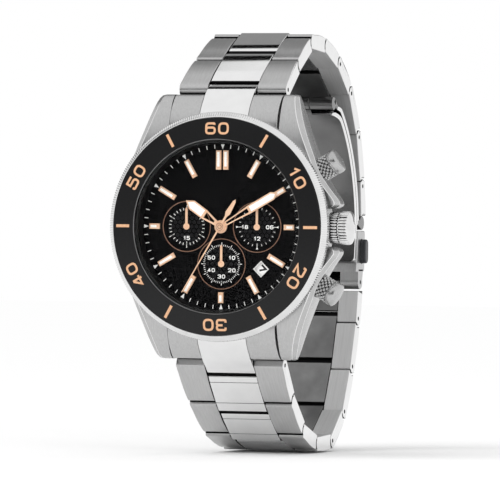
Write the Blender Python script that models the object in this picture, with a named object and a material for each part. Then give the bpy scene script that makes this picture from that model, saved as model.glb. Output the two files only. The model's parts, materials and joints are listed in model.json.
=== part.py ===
"""Chronograph wristwatch on a steel link bracelet, as separate solids.

The origin is the middle of the case back's outer face. +Y points to the wrist, the dial faces -Y,
+Z points to 12 o'clock and +X to the crown. Sizes are in millimetres and become metres where the
meshes are made. A height is a distance from the case back's face towards the dial.
"""

import math

import bmesh
import bpy
from mathutils import Matrix, Vector
from mathutils.geometry import tessellate_polygon

MM = 0.001

# Roundness: how many flats stand for a full turn
FINE_TURN = 48
CASE_TURN = 40
SMALL_TURN = 14
TINY_TURN = 8

# Clearances
SEAT_GAP = 0.05  # pieces pressed or screwed together
RUNNING_GAP = 0.12  # pieces that turn or slide in one another
HINGE_GAP = 0.15  # side and end gaps of the bracelet's hinges
CENTRE_GAP = 0.32  # the wider gap between two middle pieces of the bracelet

# Case. Radii step inwards from the outer wall, and the lugs and guards stand out from it
CASE_RADIUS = 20.6
CASE_UNDERSIDE = 0.4
CASE_SHOULDER = 7.9
UNDERSIDE_CHAMFER = (1.5, 1.4)
SHOULDER_CHAMFER = 0.5
BEZEL_SEAT = 7.5
BEZEL_SEAT_RADIUS = CASE_RADIUS - 1.0
NECK_RADIUS = BEZEL_SEAT_RADIUS - 1.4
NECK_TOP = 9.6
MOUTH_RADIUS = NECK_RADIUS - 1.35
DIAL_SEAT = 6.85
CAVITY_RADIUS = MOUTH_RADIUS - 1.1
WALL_MIDDLE = CASE_RADIUS - 1.0  # how far lugs and guards reach into the wall
LUG_WIDTH = 22.2  # the free width between two lugs
LUG_TIP = CASE_RADIUS + 4.8
LUG_FOOT = 17.8  # from the tip to where a lug has merged with the wall
# From the front: a lug's width and its distance below the tip
LUG_WIDTHS = ((2.7, 0.0), (3.7, 2.8), (4.7, 6.0), (6.3, 9.6))
# From the side: distance below the tip and height
LUG_PROFILE = ((0.7, 0.3), (0.0, 0.9), (0.0, 3.3), (1.6, 4.9), (4.2, 6.3), (7.2, 7.1), (11.0, 7.45), (LUG_FOOT, 7.5))
LUG_UNDERSIDE = 0.3
GUARD_REACH = CASE_RADIUS + 2.7
GUARD_HEIGHTS = (1.7, 7.1)
GUARD_FOOT = 2.6  # how far a guard's root lies inside the wall
# From the front: distance inside the guard's reach and distance from the crown's axis
GUARD_OUTLINE = ((1.9, 7.0), (0.4, 5.3), (0.0, 4.5))

# Case back
BACK_RECESS_RADIUS = CASE_RADIUS - 3.1
BACK_RADIUS = BACK_RECESS_RADIUS - 0.2
BACK_EDGE = (0.5, 0.4)
BACK_FLANGE = 0.9
BACK_WALL = 1.0
BACK_NECK_TOP = 2.2
BACK_NECK_WALL = 0.75
BACK_NECK_GAP = 0.15
BACK_RECESS = 1.0
BACK_GASKET_STEP = 1.55
BACK_GASKET_RADIUS = BACK_RECESS_RADIUS - 0.8
BACK_GASKET_GAPS = (0.35, 0.1, 0.08)  # inside, outside and above
BACK_NOTCHES = 6
BACK_NOTCH_DEPTH = 0.35
BACK_NOTCH_LENGTH = 1.6
BACK_NOTCH_WIDTH = 2.2
BACK_NOTCH_EDGE = 1.7  # from the notch to the back's edge

# Bezel and glass
BEZEL_RADIUS = CASE_RADIUS + 0.9
BEZEL_BOTTOM = 8.1
BEZEL_TOP = 10.5
BEZEL_CHAMFER = 0.3
BEZEL_BEVEL = (0.3, 0.4)
CRYSTAL_RADIUS = MOUTH_RADIUS - 0.55
CRYSTAL_BOTTOM = 8.95
CRYSTAL_TOP = 11.2
CRYSTAL_CHAMFER = 0.3
CRYSTAL_GAP = 0.08  # between the glass or the dial ring and the gasket around it
INSERT_FLOOR = 10.1
INSERT_RADIUS = BEZEL_RADIUS - 0.7
INSERT_BORE = CRYSTAL_RADIUS + 0.3
INSERT_LEDGE = 0.3  # how far the insert overhangs the steel inside it
INSERT_EDGE_TOP = 10.6
INSERT_TOP = 11.0
CLICK_SPRING_WIDTH = 0.9
CLICK_SPRING_THICKNESS = 0.22
CLICK_SPRING_ANGLES = (20, 340)
CLICK_SPRING_STEPS = 32

# Dial side
DIAL_RADIUS = MOUTH_RADIUS - 0.25
DIAL_BOTTOM = 6.9
DIAL_TOP = 7.3
REHAUT_BORE = DIAL_RADIUS - 0.7
REHAUT_SLOPE = 0.4
REHAUT_GAP = 0.1
SUBDIAL_DISTANCE = DIAL_RADIUS - 9.5
SUBDIAL_RADIUS = 4.75
SUBDIAL_TURN = 28
SUBDIAL_DEPTH = 0.12
INDEX_OUTER = REHAUT_BORE - 1.15
INDEX_LONG = 3.7
INDEX_SHORT = 2.2
INDEX_WIDTH = 1.15
INDEX_HEIGHT = 0.4
INDEX_ROOT = 0.1
DATE_DISTANCE = DIAL_RADIUS - 5.3
DATE_SIDE = 2.1
DATE_DIRECTION = 135.0
DATE_RING_WIDTH = 3.3
DATE_RING_HEIGHTS = (6.35, 6.75)
DATE_TEETH = 31
DATE_TOOTH = 0.4

# Hands: length, width, height of the blade's underside and thickness
HAND_THICKNESS = 0.14
SMALL_HAND_UNDERSIDE = 7.42
HOUR_UNDERSIDE = 7.85
MINUTE_UNDERSIDE = 8.15
CHRONO_UNDERSIDE = 8.45
HOUR_LENGTH = DIAL_RADIUS - 8.0
HOUR_WIDTH = 1.7
MINUTE_LENGTH = DIAL_RADIUS - 3.5
MINUTE_WIDTH = 1.55
HAND_POINT = 1.3
HAND_ROOT = 0.62  # width at the hub, as a share of the blade's width
HAND_OPENING = (0.4, 0.42)  # where the opening ends and the full width starts, as shares of the length
HAND_RIM = 0.3
HAND_RIM_ROOT = 0.75
HUB_WALL = 0.28
HUB_STEP = 0.03
CHRONO_LENGTH = DIAL_RADIUS - 1.8
CHRONO_TAIL = 6.2
CHRONO_WIDTHS = (0.44, 0.2)
CHRONO_WEIGHT_START = 2.6
CHRONO_WEIGHT_WIDTH = 1.0
CHRONO_HUB = 0.85
SMALL_HAND_LENGTH = 3.6
SMALL_HAND_TAIL = 0.9
SMALL_HAND_WIDTHS = (0.44, 0.4)
SMALL_HUB = 0.6
HOUR_TUBE = 0.95
MINUTE_TUBE = 0.62
CHRONO_POST = 0.3
SMALL_POST = 0.3
POST_GAP = 0.15
POST_END = 5.3
# Clockwise angles from 12 o'clock: ten past ten, chronograph stopped at 35 seconds
HOUR_ANGLE = 305.0
MINUTE_ANGLE = 60.0
CHRONO_ANGLE = 211.0

# Movement
HOLDER_WALL = 1.6
HOLDER_GAP = 0.15
HOLDER_HEIGHTS = (2.4, 6.7)
MOVEMENT_RADIUS = CAVITY_RADIUS - HOLDER_GAP - HOLDER_WALL - 0.2
MOVEMENT_HEIGHTS = (3.7, 6.1)
BATTERY_RADIUS = 4.75
BATTERY_TURN = 28
BATTERY_HEIGHTS = (1.45, 3.55)
BATTERY_PLACE = (7.8 - MOVEMENT_RADIUS, 8.8 - MOVEMENT_RADIUS)
CLAMP_WIDTH = 3.0
CLAMP_THICKNESS = 0.2
CLAMP_FOOT = (0.2, 1.4)  # where the foot starts and ends beyond the battery
BOARD_HEIGHTS = (3.25, 3.6)
BOARD_INSET = 0.8
BOARD_ANGLES = (3, 177)
COIL_RADIUS = 0.8
COIL_LENGTH = 8.0
COIL_PLACE = (5.6, -6.5, 2.8)

# Crown and pushers. Distances along their axes are measured from the middle of the case
AXIS_HEIGHT = 4.5
HOLE_START = 12.0
HOLE_END = CASE_RADIUS + 4.4
CROWN_RADIUS = 3.2
CROWN_START = GUARD_REACH - 2.35
CROWN_END = CROWN_START + 4.65
CROWN_BORE = 2.0
CROWN_BORE_END = CROWN_START + 2.95
CROWN_GUARD_GAP = 0.25
CROWN_TIER = 0.1  # how much the inner tier is slimmer
CROWN_GROOVE = 0.3
TUBE_RADIUS = 1.5
TUBE_BORE = 0.95
TUBE_START = MOUTH_RADIUS + 0.1
TUBE_END = CROWN_START + 2.45
STEM_RADIUS = 0.55
STEM_START = 9.5
CROWN_GASKET_START = CROWN_START + 0.45
CROWN_GASKET_LENGTH = 0.6
PUSHER_ANGLE = 30.0
PUSHER_RADIUS = 2.35
PUSHER_START = GUARD_REACH - 1.55
PUSHER_END = PUSHER_START + 4.35
PUSHER_BORE = 1.75
PUSHER_BORE_END = PUSHER_START + 2.85
PUSHER_STEM = 0.75
PUSHER_STEM_START = MOVEMENT_RADIUS + 1.2
PUSHER_STEM_GAP = 0.2
PUSHER_RECESS_GAP = 0.35
PUSHER_RECESS_FLOOR = CASE_RADIUS + 0.1
SLEEVE_RADIUS = 1.35
SLEEVE_BORE = 0.9
SLEEVE_END = PUSHER_START + 0.85
SPRING_WIRE = 0.15
SPRING_RADIUS = 1.2
SPRING_TURNS = 4
SPRING_STEPS = 9  # straight pieces in each turn
WIRE_TURN = 4

# Bracelet: links are counted from the case. A link's own axes are s, along the bracelet away from
# the case, and n, outwards. Its near hinge is at s = 0.
LINK_PITCH = 10.15
LAST_PITCH = 7.4
LINK_THICKNESS = 2.8
LINK_CROWN = 0.2
LINK_EDGE = 0.03
LINK_LIP = 1.15  # where an outer piece's hollow end starts, before the next hinge
OPEN_END = 0.2
OUTER_CROWN = (0.7, 0.4)  # where the crown starts and ends, as shares of the pitch
MIDDLE_CROWN = (0.72, 0.42)
MIDDLE_START = 1.25
# How much narrower each link is than the space between the lugs
LINK_TAPER = (0.6, 1.4, 2.2, 2.9, 3.6, 4.2, 4.2, 4.2)
LINK_COUNT = len(LINK_TAPER)
LINK_WIDTHS = tuple(LUG_WIDTH - taper for taper in LINK_TAPER)
MIDDLE_WIDTH = 9.8
TAB_LENGTH = 2.0
TAB_THICKNESS = 1.8
TAB_REACH = 0.5
PIN_RADIUS = 0.55
PIN_REACH = 0.6
FIRST_HINGE = (-0.5, LUG_TIP + 1.0)
# How far each link leans from straight out of the lugs, in degrees, with the clasp closed
UPPER_LEANS = (58.0, 64.0, 93.0, 108.0, 123.0, 148.0, 164.0, 174.0)
LOWER_LEANS = (44.0, 55.0, 75.0, 92.0, 123.0, 151.0, 160.0, 169.0)
END_LINK_LEAN = 35.0
END_LINK_FOOT = 3.0  # how far its root lies inside the case's wall line
# Distance below the first hinge and height
END_LINK_ROOF = ((5.0, 6.9), (3.1, 5.6), (1.3, 3.9))
END_LINK_ROOT_HEIGHTS = (0.7, 7.2)
END_LINK_FLOOR = (2.9, 0.5)
END_LINK_LIP = (0.45, 2.75)
END_LINK_SIDE_GAP = 0.2
SPRING_BAR_PLACE = (LUG_TIP - 2.5, 2.2)
SPRING_BAR_RADIUS = 0.75
SPRING_BAR_GAP = 0.1
SPRING_BAR_SHOULDER = 0.25
SPRING_BAR_TIP = 0.4
SPRING_BAR_TIP_LENGTH = 1.2

# Clasp: two curved leaves that share one centre, in the plane of +Y and +Z
BLADE_RADIUS = 29.1
BLADE_THICKNESS = 1.0
LEAF_THICKNESS = 0.9
LEAF_RADIUS = BLADE_RADIUS + (BLADE_THICKNESS + LEAF_THICKNESS) / 2 + 0.45
BLADE_END = 55.0
LEAF_ANGLES = (2.6, 54.5)
LEAF_STEPS = 14
LEAF_OVERHANG = 2.4  # from the leaf's middle line to the hinge of the last upper link
LEAF_DROP = 2.04  # from that hinge down to the clasp's centre
CLASP_INSET = 0.6
CLASP_WIDTH = LINK_WIDTHS[-1] - CLASP_INSET
BARREL_DISTANCE = BLADE_RADIUS + 0.7
BARREL_ANGLE = 59.0
BARREL_RADIUS = 1.3
BARREL_MIDDLE = 6.4
RAMP_START = 1.5  # degrees before a leaf's end where its knuckles start
HOUSING_WALL = 1.0
HOUSING_FLOOR = 1.2
HOUSING_CORNER = 0.5
HOUSING_LEAN = 0.25
HOUSING_EDGE = 0.2  # how much the housing is wider than the leaves, on each side
HOUSING_DEPTH = 2.8  # from the last lower hinge out to the housing's face
HOUSING_TOP_GAP = 1.6  # from the last upper hinge down to the housing
HOUSING_BOTTOM_GAP = 2.1  # from the last lower hinge up to the housing
BLADE_FOOT = 1.5  # how far the blade stays above the housing's bottom
EAR_RISE = 0.6
BUTTON_INSET = 2.2
BUTTON_SHARE = 0.31  # half the button's length, as a share of the housing's height
BUTTON_HALF_WIDTH = 1.0
BUTTON_PROUD = 1.15
BUTTON_TRAVEL = 0.7
BUTTON_POCKET = 1.9
BUTTON_STEM = 0.6
BUTTON_STEM_LENGTH = 2.4
BUTTON_FLANGE = 0.95
BUTTON_FLANGE_PLACES = (1.4, 0.8)
BUTTON_SPRING_RISE = (1.6, 2.2)
BUTTON_SPRING_THICKNESS = 0.3
BUTTON_SPRING_WIDTH = 1.0

FRONT = Matrix.Rotation(math.radians(90), 4, "X")  # x, y, height to X, Z, -Y
ACROSS = Matrix(((0, 0, 1, 0), (1, 0, 0, 0), (0, 1, 0, 0), (0, 0, 0, 1)))  # outline to Y, Z; depth to X

STEEL = ((0.62, 0.62, 0.63), 0.28, 1.0)
POLISHED = ((0.75, 0.75, 0.76), 0.08, 1.0)
DARK_STEEL = ((0.12, 0.12, 0.13), 0.35, 1.0)
BLACK = ((0.02, 0.02, 0.022), 0.3, 0.0)
ROSE_GOLD = ((0.85, 0.55, 0.38), 0.2, 1.0)
GLASS = ((0.9, 0.95, 1.0), 0.02, 0.0)
RUBBER = ((0.03, 0.03, 0.03), 0.7, 0.0)
BRASS = ((0.75, 0.6, 0.3), 0.35, 1.0)
WHITE = ((0.85, 0.85, 0.83), 0.5, 0.0)
PLASTIC = ((0.5, 0.5, 0.48), 0.5, 0.0)
BOARD_GREEN = ((0.05, 0.25, 0.12), 0.5, 0.0)
COPPER = ((0.7, 0.3, 0.15), 0.4, 1.0)


# Shapes


def polar(radius, degrees):
    turn = math.radians(degrees)
    return radius * math.cos(turn), radius * math.sin(turn)


def arc(centre, radius, start, end, steps):
    """Points on an arc, both ends included, with angles in degrees."""
    points = []
    for i in range(steps + 1):
        x, y = polar(radius, start + (end - start) * i / steps)
        points.append((centre[0] + x, centre[1] + y))
    return points


def circle(radius, flats, centre=(0, 0)):
    return arc(centre, radius, 0, 360 * (flats - 1) / flats, flats - 1)


def box_outline(left, right, low, high):
    return [(left, low), (right, low), (right, high), (left, high)]


def turned_outline(outline, degrees):
    spin = Matrix.Rotation(math.radians(degrees), 2)
    return [tuple(spin @ Vector(point)) for point in outline]


def turned(profile, flats):
    """The solid that (radius, height) points sweep round +Z. A full one starts and ends at radius 0."""
    mesh = bmesh.new()
    rings = []
    for radius, height in profile:
        spots = circle(radius, flats) if radius else [(0, 0)]
        rings.append([mesh.verts.new((x, y, height)) for x, y in spots])
    pairs = list(zip(rings, rings[1:]))
    if profile[0][0]:
        pairs.append((rings[-1], rings[0]))
    for low, high in pairs:
        for i in range(flats):
            j = (i + 1) % flats
            if len(low) == 1:
                mesh.faces.new((low[0], high[j], high[i]))
            elif len(high) == 1:
                mesh.faces.new((low[i], low[j], high[0]))
            else:
                mesh.faces.new((low[i], low[j], high[j], high[i]))
    bmesh.ops.recalc_face_normals(mesh, faces=mesh.faces)
    return mesh


def ring(bore, radius, low, high, flats):
    return turned([(bore, low), (radius, low), (radius, high), (bore, high)], flats)


def rod(radius, low, high, flats):
    return turned([(0, low), (radius, low), (radius, high), (0, high)], flats)


def prism(outline, low, high, holes=()):
    """The outline, less its holes, drawn out along +Z from low to high."""
    mesh = bmesh.new()
    loops = [outline, *holes]
    floor, roof = [], []
    for loop in loops:
        under = [mesh.verts.new((x, y, low)) for x, y in loop]
        over = [mesh.verts.new((x, y, high)) for x, y in loop]
        for i in range(len(loop)):
            j = (i + 1) % len(loop)
            mesh.faces.new((under[i], under[j], over[j], over[i]))
        floor += under
        roof += over
    flat = [[Vector((x, y, 0)) for x, y in loop] for loop in loops]
    for a, b, c in tessellate_polygon(flat):
        mesh.faces.new((floor[a], floor[b], floor[c]))
        mesh.faces.new((roof[a], roof[b], roof[c]))
    bmesh.ops.recalc_face_normals(mesh, faces=mesh.faces)
    return mesh


def moved(mesh, matrix):
    mesh.transform(matrix)
    return mesh


def across_prism(outline, left, right, holes=()):
    """The outline, drawn in the plane of +Y and +Z, stretched along X."""
    return moved(prism(outline, left, right, holes), ACROSS)


def scratch_object(mesh):
    data = bpy.data.meshes.new("scratch")
    mesh.to_mesh(data)
    mesh.free()
    made = bpy.data.objects.new("scratch", data)
    bpy.context.scene.collection.objects.link(made)
    return made


def combined(base, tool, operation):
    """A bmesh of base UNION, DIFFERENCE or INTERSECT tool. Both are used up."""
    holder, other = scratch_object(base), scratch_object(tool)
    boolean = holder.modifiers.new("boolean", "BOOLEAN")
    boolean.operation = operation
    boolean.object = other
    result = bmesh.new()
    result.from_object(holder, bpy.context.evaluated_depsgraph_get())
    for item in (holder, other):
        data = item.data
        bpy.data.objects.remove(item)
        bpy.data.meshes.remove(data)
    return result


def joined(base, *tools):
    for tool in tools:
        base = combined(base, tool, "UNION")
    return base


def cut(base, *tools):
    for tool in tools:
        base = combined(base, tool, "DIFFERENCE")
    return base


def finish(name, look):
    """The object's own Principled material."""
    colour, roughness, metallic = look
    material = bpy.data.materials.new(name)
    material.use_nodes = True
    shader = material.node_tree.nodes["Principled BSDF"]
    shader.inputs["Base Color"].default_value = (*colour, 1)
    shader.inputs["Roughness"].default_value = roughness
    shader.inputs["Metallic"].default_value = metallic
    return material


def part(name, mesh, look, matrix=None):
    """A named object from a mesh in millimetres, placed by a matrix in millimetres."""
    mesh.transform(Matrix.Scale(MM, 4))
    data = bpy.data.meshes.new(name)
    mesh.to_mesh(data)
    mesh.free()
    data.shade_smooth()
    data.set_sharp_from_angle(angle=math.radians(35))
    data.materials.append(finish(name, look))
    made = bpy.data.objects.new(name, data)
    bpy.context.scene.collection.objects.link(made)
    if matrix is not None:
        place = matrix.copy()
        place.translation = matrix.translation * MM
        made.matrix_world = place
    return made


# Case


def lug(side, end):
    """One lug, as its outline from the front crossed with its outline from the side."""
    inside = LUG_WIDTH / 2
    front = [(inside, LUG_TIP)] + [(inside + width, LUG_TIP - drop) for width, drop in LUG_WIDTHS]
    front += [
        (CASE_RADIUS - 1.9, LUG_TIP - 13.2),
        (CASE_RADIUS - 1.3, LUG_TIP - 16.4),
        (inside - 2.0, LUG_TIP - 16.4),
        (inside - 2.0, LUG_TIP - 10.8),
        (inside, LUG_TIP - 9.2),
    ]
    profile = [(LUG_TIP - LUG_FOOT, CASE_UNDERSIDE + 0.1), (LUG_TIP - 5.8, LUG_UNDERSIDE)]
    profile += [(LUG_TIP - drop, height) for drop, height in LUG_PROFILE]
    seen = prism([(side * x, end * z) for x, z in front], 0.0, CASE_SHOULDER)
    near, far = sorted((side * (inside - 5.0), side * (CASE_RADIUS + 5.0)))
    # The side outline is drawn along z and height, so it turns into the front view's axes
    sideways = across_prism([(end * z, height) for z, height in profile], near, far)
    return combined(seen, sideways, "INTERSECT")


def crown_guard(end):
    gap = CROWN_RADIUS + CROWN_GUARD_GAP
    foot = CASE_RADIUS - GUARD_FOOT
    outline = [(foot, 9.8), (CASE_RADIUS - 0.7, 8.7)]
    outline += [(GUARD_REACH - inwards, z) for inwards, z in GUARD_OUTLINE]
    outline += [(GUARD_REACH - 0.3, gap + 0.3), (GUARD_REACH - 1.3, gap), (foot, gap)]
    return prism([(x, end * z) for x, z in outline], *GUARD_HEIGHTS)


def radial(degrees):
    """Places a piece drawn along +Z so that it points out of the case at this angle above +X."""
    lift = Matrix.Translation((0, -AXIS_HEIGHT, 0))
    return lift @ Matrix.Rotation(math.radians(90 - degrees), 4, "Y")


def radial_in_front(degrees):
    """The same place in the front view's own axes, before FRONT is applied."""
    return FRONT.inverted() @ radial(degrees)


def make_case():
    edge, rise = UNDERSIDE_CHAMFER
    body = turned(
        [
            (BACK_RECESS_RADIUS, CASE_UNDERSIDE),
            (CASE_RADIUS - edge, CASE_UNDERSIDE),
            (CASE_RADIUS, CASE_UNDERSIDE + rise),
            (CASE_RADIUS, CASE_SHOULDER - SHOULDER_CHAMFER),
            (CASE_RADIUS - SHOULDER_CHAMFER, CASE_SHOULDER),
            (BEZEL_SEAT_RADIUS, CASE_SHOULDER),
            (BEZEL_SEAT_RADIUS, BEZEL_SEAT),
            (NECK_RADIUS, BEZEL_SEAT),
            (NECK_RADIUS, NECK_TOP),
            (MOUTH_RADIUS, NECK_TOP),
            (MOUTH_RADIUS, DIAL_SEAT),
            (CAVITY_RADIUS, DIAL_SEAT),
            (CAVITY_RADIUS, BACK_GASKET_STEP),
            (BACK_GASKET_RADIUS, BACK_GASKET_STEP),
            (BACK_GASKET_RADIUS, BACK_RECESS),
            (BACK_RECESS_RADIUS, BACK_RECESS),
        ],
        CASE_TURN,
    )
    for end in (1, -1):
        for side in (1, -1):
            body = joined(body, cut_to_wall(lug(side, end)))
        body = joined(body, cut_to_wall(crown_guard(end)))
    crown_hole = rod(TUBE_RADIUS + SEAT_GAP, HOLE_START, HOLE_END, SMALL_TURN)
    body = cut(body, moved(crown_hole, radial_in_front(0)))
    tips = LUG_WIDTH / 2 + SPRING_BAR_TIP_LENGTH + SPRING_BAR_GAP * 2
    for end in (1, -1):
        aim = radial_in_front(end * PUSHER_ANGLE)
        sleeve_hole = rod(SLEEVE_RADIUS + SEAT_GAP, HOLE_START, HOLE_END, SMALL_TURN)
        recess = rod(PUSHER_RADIUS + PUSHER_RECESS_GAP, PUSHER_RECESS_FLOOR, PUSHER_END, SMALL_TURN)
        body = cut(body, moved(sleeve_hole, aim), moved(recess, aim))
        z, height = SPRING_BAR_PLACE
        hole = circle(SPRING_BAR_TIP + SPRING_BAR_GAP, TINY_TURN, (end * z, height))
        body = cut(body, across_prism(hole, -tips, tips))
    part("case_middle", moved(body, FRONT), STEEL)


def cut_to_wall(mesh):
    """Takes away what would fill the case's inside."""
    room = rod(WALL_MIDDLE, CASE_UNDERSIDE - 1, CASE_SHOULDER + 1, CASE_TURN)
    return cut(mesh, room)


def make_case_back():
    neck = CAVITY_RADIUS - BACK_NECK_GAP
    inwards, rise = BACK_EDGE
    plate = turned(
        [
            (0, 0),
            (BACK_RADIUS - inwards, 0),
            (BACK_RADIUS, rise),
            (BACK_RADIUS, BACK_FLANGE),
            (neck, BACK_FLANGE),
            (neck, BACK_NECK_TOP),
            (neck - BACK_NECK_WALL, BACK_NECK_TOP),
            (neck - BACK_NECK_WALL, BACK_WALL),
            (0, BACK_WALL),
        ],
        CASE_TURN,
    )
    far = BACK_RADIUS - BACK_NOTCH_EDGE
    notch = box_outline(far - BACK_NOTCH_LENGTH, far, -BACK_NOTCH_WIDTH / 2, BACK_NOTCH_WIDTH / 2)
    for i in range(BACK_NOTCHES):
        outline = turned_outline(notch, 360 * i / BACK_NOTCHES)
        plate = cut(plate, prism(outline, -1.0, BACK_NOTCH_DEPTH))
    part("case_back", moved(plate, FRONT), STEEL)
    inner, outer, above = BACK_GASKET_GAPS
    seal = ring(neck + inner, BACK_GASKET_RADIUS - outer, BACK_RECESS, BACK_GASKET_STEP - above, CASE_TURN)
    part("case_back_gasket", moved(seal, FRONT), RUBBER)


def make_glass():
    glass = turned(
        [
            (0, CRYSTAL_BOTTOM),
            (CRYSTAL_RADIUS, CRYSTAL_BOTTOM),
            (CRYSTAL_RADIUS, CRYSTAL_TOP - CRYSTAL_CHAMFER),
            (CRYSTAL_RADIUS - CRYSTAL_CHAMFER, CRYSTAL_TOP),
            (0, CRYSTAL_TOP),
        ],
        FINE_TURN,
    )
    part("crystal", moved(glass, FRONT), GLASS)
    seal = ring(CRYSTAL_RADIUS + CRYSTAL_GAP, MOUTH_RADIUS - CRYSTAL_GAP, CRYSTAL_BOTTOM, NECK_TOP, CASE_TURN)
    part("crystal_gasket", moved(seal, FRONT), WHITE)
    slope = turned(
        [
            (REHAUT_BORE, DIAL_TOP + SEAT_GAP),
            (MOUTH_RADIUS - REHAUT_GAP, DIAL_TOP + SEAT_GAP),
            (MOUTH_RADIUS - REHAUT_GAP, CRYSTAL_BOTTOM - CRYSTAL_GAP),
            (REHAUT_BORE + REHAUT_SLOPE, CRYSTAL_BOTTOM - CRYSTAL_GAP),
        ],
        FINE_TURN,
    )
    part("rehaut_ring", moved(slope, FRONT), BLACK)


def make_bezel():
    bore = NECK_RADIUS + RUNNING_GAP
    inwards, drop = BEZEL_BEVEL
    ledge = INSERT_BORE + INSERT_LEDGE
    steel = turned(
        [
            (bore, BEZEL_BOTTOM),
            (BEZEL_RADIUS - BEZEL_CHAMFER, BEZEL_BOTTOM),
            (BEZEL_RADIUS, BEZEL_BOTTOM + BEZEL_CHAMFER),
            (BEZEL_RADIUS, BEZEL_TOP - drop),
            (BEZEL_RADIUS - inwards, BEZEL_TOP),
            (INSERT_RADIUS + SEAT_GAP, BEZEL_TOP),
            (INSERT_RADIUS + SEAT_GAP, INSERT_FLOOR),
            (ledge, INSERT_FLOOR),
            (ledge, NECK_TOP + RUNNING_GAP),
            (bore, NECK_TOP + RUNNING_GAP),
        ],
        FINE_TURN,
    )
    part("bezel_ring", moved(steel, FRONT), POLISHED)
    insert = turned(
        [
            (INSERT_BORE, INSERT_FLOOR + SEAT_GAP),
            (INSERT_RADIUS, INSERT_FLOOR + SEAT_GAP),
            (INSERT_RADIUS, INSERT_EDGE_TOP),
            (ledge, INSERT_TOP),
            (INSERT_BORE, INSERT_TOP),
        ],
        FINE_TURN,
    )
    part("bezel_insert", moved(insert, FRONT), BLACK)
    middle = (NECK_RADIUS + BEZEL_SEAT_RADIUS) / 2
    outside, inside = middle + CLICK_SPRING_WIDTH / 2, middle - CLICK_SPRING_WIDTH / 2
    start, stop = CLICK_SPRING_ANGLES
    hoop = arc((0, 0), outside, start, stop, CLICK_SPRING_STEPS)
    hoop += arc((0, 0), inside, stop, start, CLICK_SPRING_STEPS)
    low = BEZEL_SEAT + SEAT_GAP
    part("bezel_click_spring", moved(prism(hoop, low, low + CLICK_SPRING_THICKNESS), FRONT), STEEL)


# Dial and hands


def dial_place(distance, degrees):
    """A place on the dial, by its clockwise angle from 12 o'clock."""
    return polar(distance, 90 - degrees)


SUBDIALS = {
    "day_counter": dial_place(SUBDIAL_DISTANCE, 90),
    "small_seconds": dial_place(SUBDIAL_DISTANCE, 180),
    "minute_counter": dial_place(SUBDIAL_DISTANCE, 270),
}


def date_window(side):
    half = side / 2
    x, y = dial_place(DATE_DISTANCE, DATE_DIRECTION)
    window = turned_outline(box_outline(-half, half, -half, half), 90 - DATE_DIRECTION)
    return [(x + a, y + b) for a, b in window]


def make_dial():
    holes = [circle(HOUR_TUBE + POST_GAP, SMALL_TURN), date_window(DATE_SIDE)]
    holes += [circle(SMALL_POST + POST_GAP, TINY_TURN, place) for place in SUBDIALS.values()]
    dial = prism(circle(DIAL_RADIUS, FINE_TURN), DIAL_BOTTOM, DIAL_TOP, holes)
    floor = DIAL_TOP - SUBDIAL_DEPTH
    for place in SUBDIALS.values():
        dial = cut(dial, prism(circle(SUBDIAL_RADIUS, SUBDIAL_TURN, place), floor, DIAL_TOP + 1))
    for hour in range(1, 12):
        length = INDEX_SHORT if hour % 3 == 0 else INDEX_LONG
        half = INDEX_WIDTH / 2
        bar = box_outline(-half, half, INDEX_OUTER - length, INDEX_OUTER)
        bar = turned_outline(bar, -30 * hour)
        dial = joined(dial, prism(bar, DIAL_TOP - INDEX_ROOT, DIAL_TOP + INDEX_HEIGHT))
    part("dial", moved(dial, FRONT), BLACK)


def make_date_wheel():
    outside = DATE_DISTANCE + DATE_RING_WIDTH / 2
    inside = DATE_DISTANCE - DATE_RING_WIDTH / 2
    teeth = []
    for i in range(DATE_TEETH):
        middle = 360 * i / DATE_TEETH
        teeth += [polar(inside, middle), polar(inside + DATE_TOOTH, middle + 180 / DATE_TEETH)]
    wheel = prism(circle(outside, CASE_TURN), *DATE_RING_HEIGHTS, [teeth])
    part("date_wheel", moved(wheel, FRONT), WHITE)


def hand_place(x, y, degrees):
    """Puts a hand drawn towards 12 o'clock on its post, turned clockwise by this angle."""
    return FRONT @ Matrix.Translation((x, y, 0)) @ Matrix.Rotation(math.radians(-degrees), 4, "Z")


def centre_hand(name, length, width, bore, tube, underside, degrees):
    """A broad hand on a tube, open between its hub and its filled outer half."""
    half = width / 2
    hub = tube + HUB_WALL
    opening, shoulder = (length * share for share in HAND_OPENING)
    blade = [
        (-half * HAND_ROOT, 0),
        (half * HAND_ROOT, 0),
        (half, shoulder),
        (half, length - HAND_POINT),
        (0, length),
        (-half, length - HAND_POINT),
        (-half, shoulder),
    ]
    gap = (half - HAND_RIM) * HAND_RIM_ROOT
    window = box_outline(-gap, gap, hub + 0.35, opening)
    top = underside + HAND_THICKNESS
    plate = prism(blade, underside, top, [window])
    plate = joined(plate, rod(hub, underside - HUB_STEP, top + HUB_STEP, SMALL_TURN))
    plate = joined(plate, rod(tube, POST_END, top + HUB_STEP / 2, SMALL_TURN))
    plate = cut(plate, rod(bore, POST_END - 1, top + 1, SMALL_TURN))
    part(name, plate, ROSE_GOLD, hand_place(0, 0, degrees))


def small_hand(name, place):
    top = SMALL_HAND_UNDERSIDE + HAND_THICKNESS
    tail, tip = (width / 2 for width in SMALL_HAND_WIDTHS)
    blade = [(-tail, -SMALL_HAND_TAIL), (tail, -SMALL_HAND_TAIL), (tip, SMALL_HAND_LENGTH), (-tip, SMALL_HAND_LENGTH)]
    plate = prism(blade, SMALL_HAND_UNDERSIDE, top)
    plate = joined(plate, rod(SMALL_HUB, SMALL_HAND_UNDERSIDE - HUB_STEP, top + HUB_STEP, SMALL_TURN))
    plate = joined(plate, rod(SMALL_POST, POST_END, top + HUB_STEP / 2, TINY_TURN))
    part(name, plate, ROSE_GOLD, hand_place(*place, 0))


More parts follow.
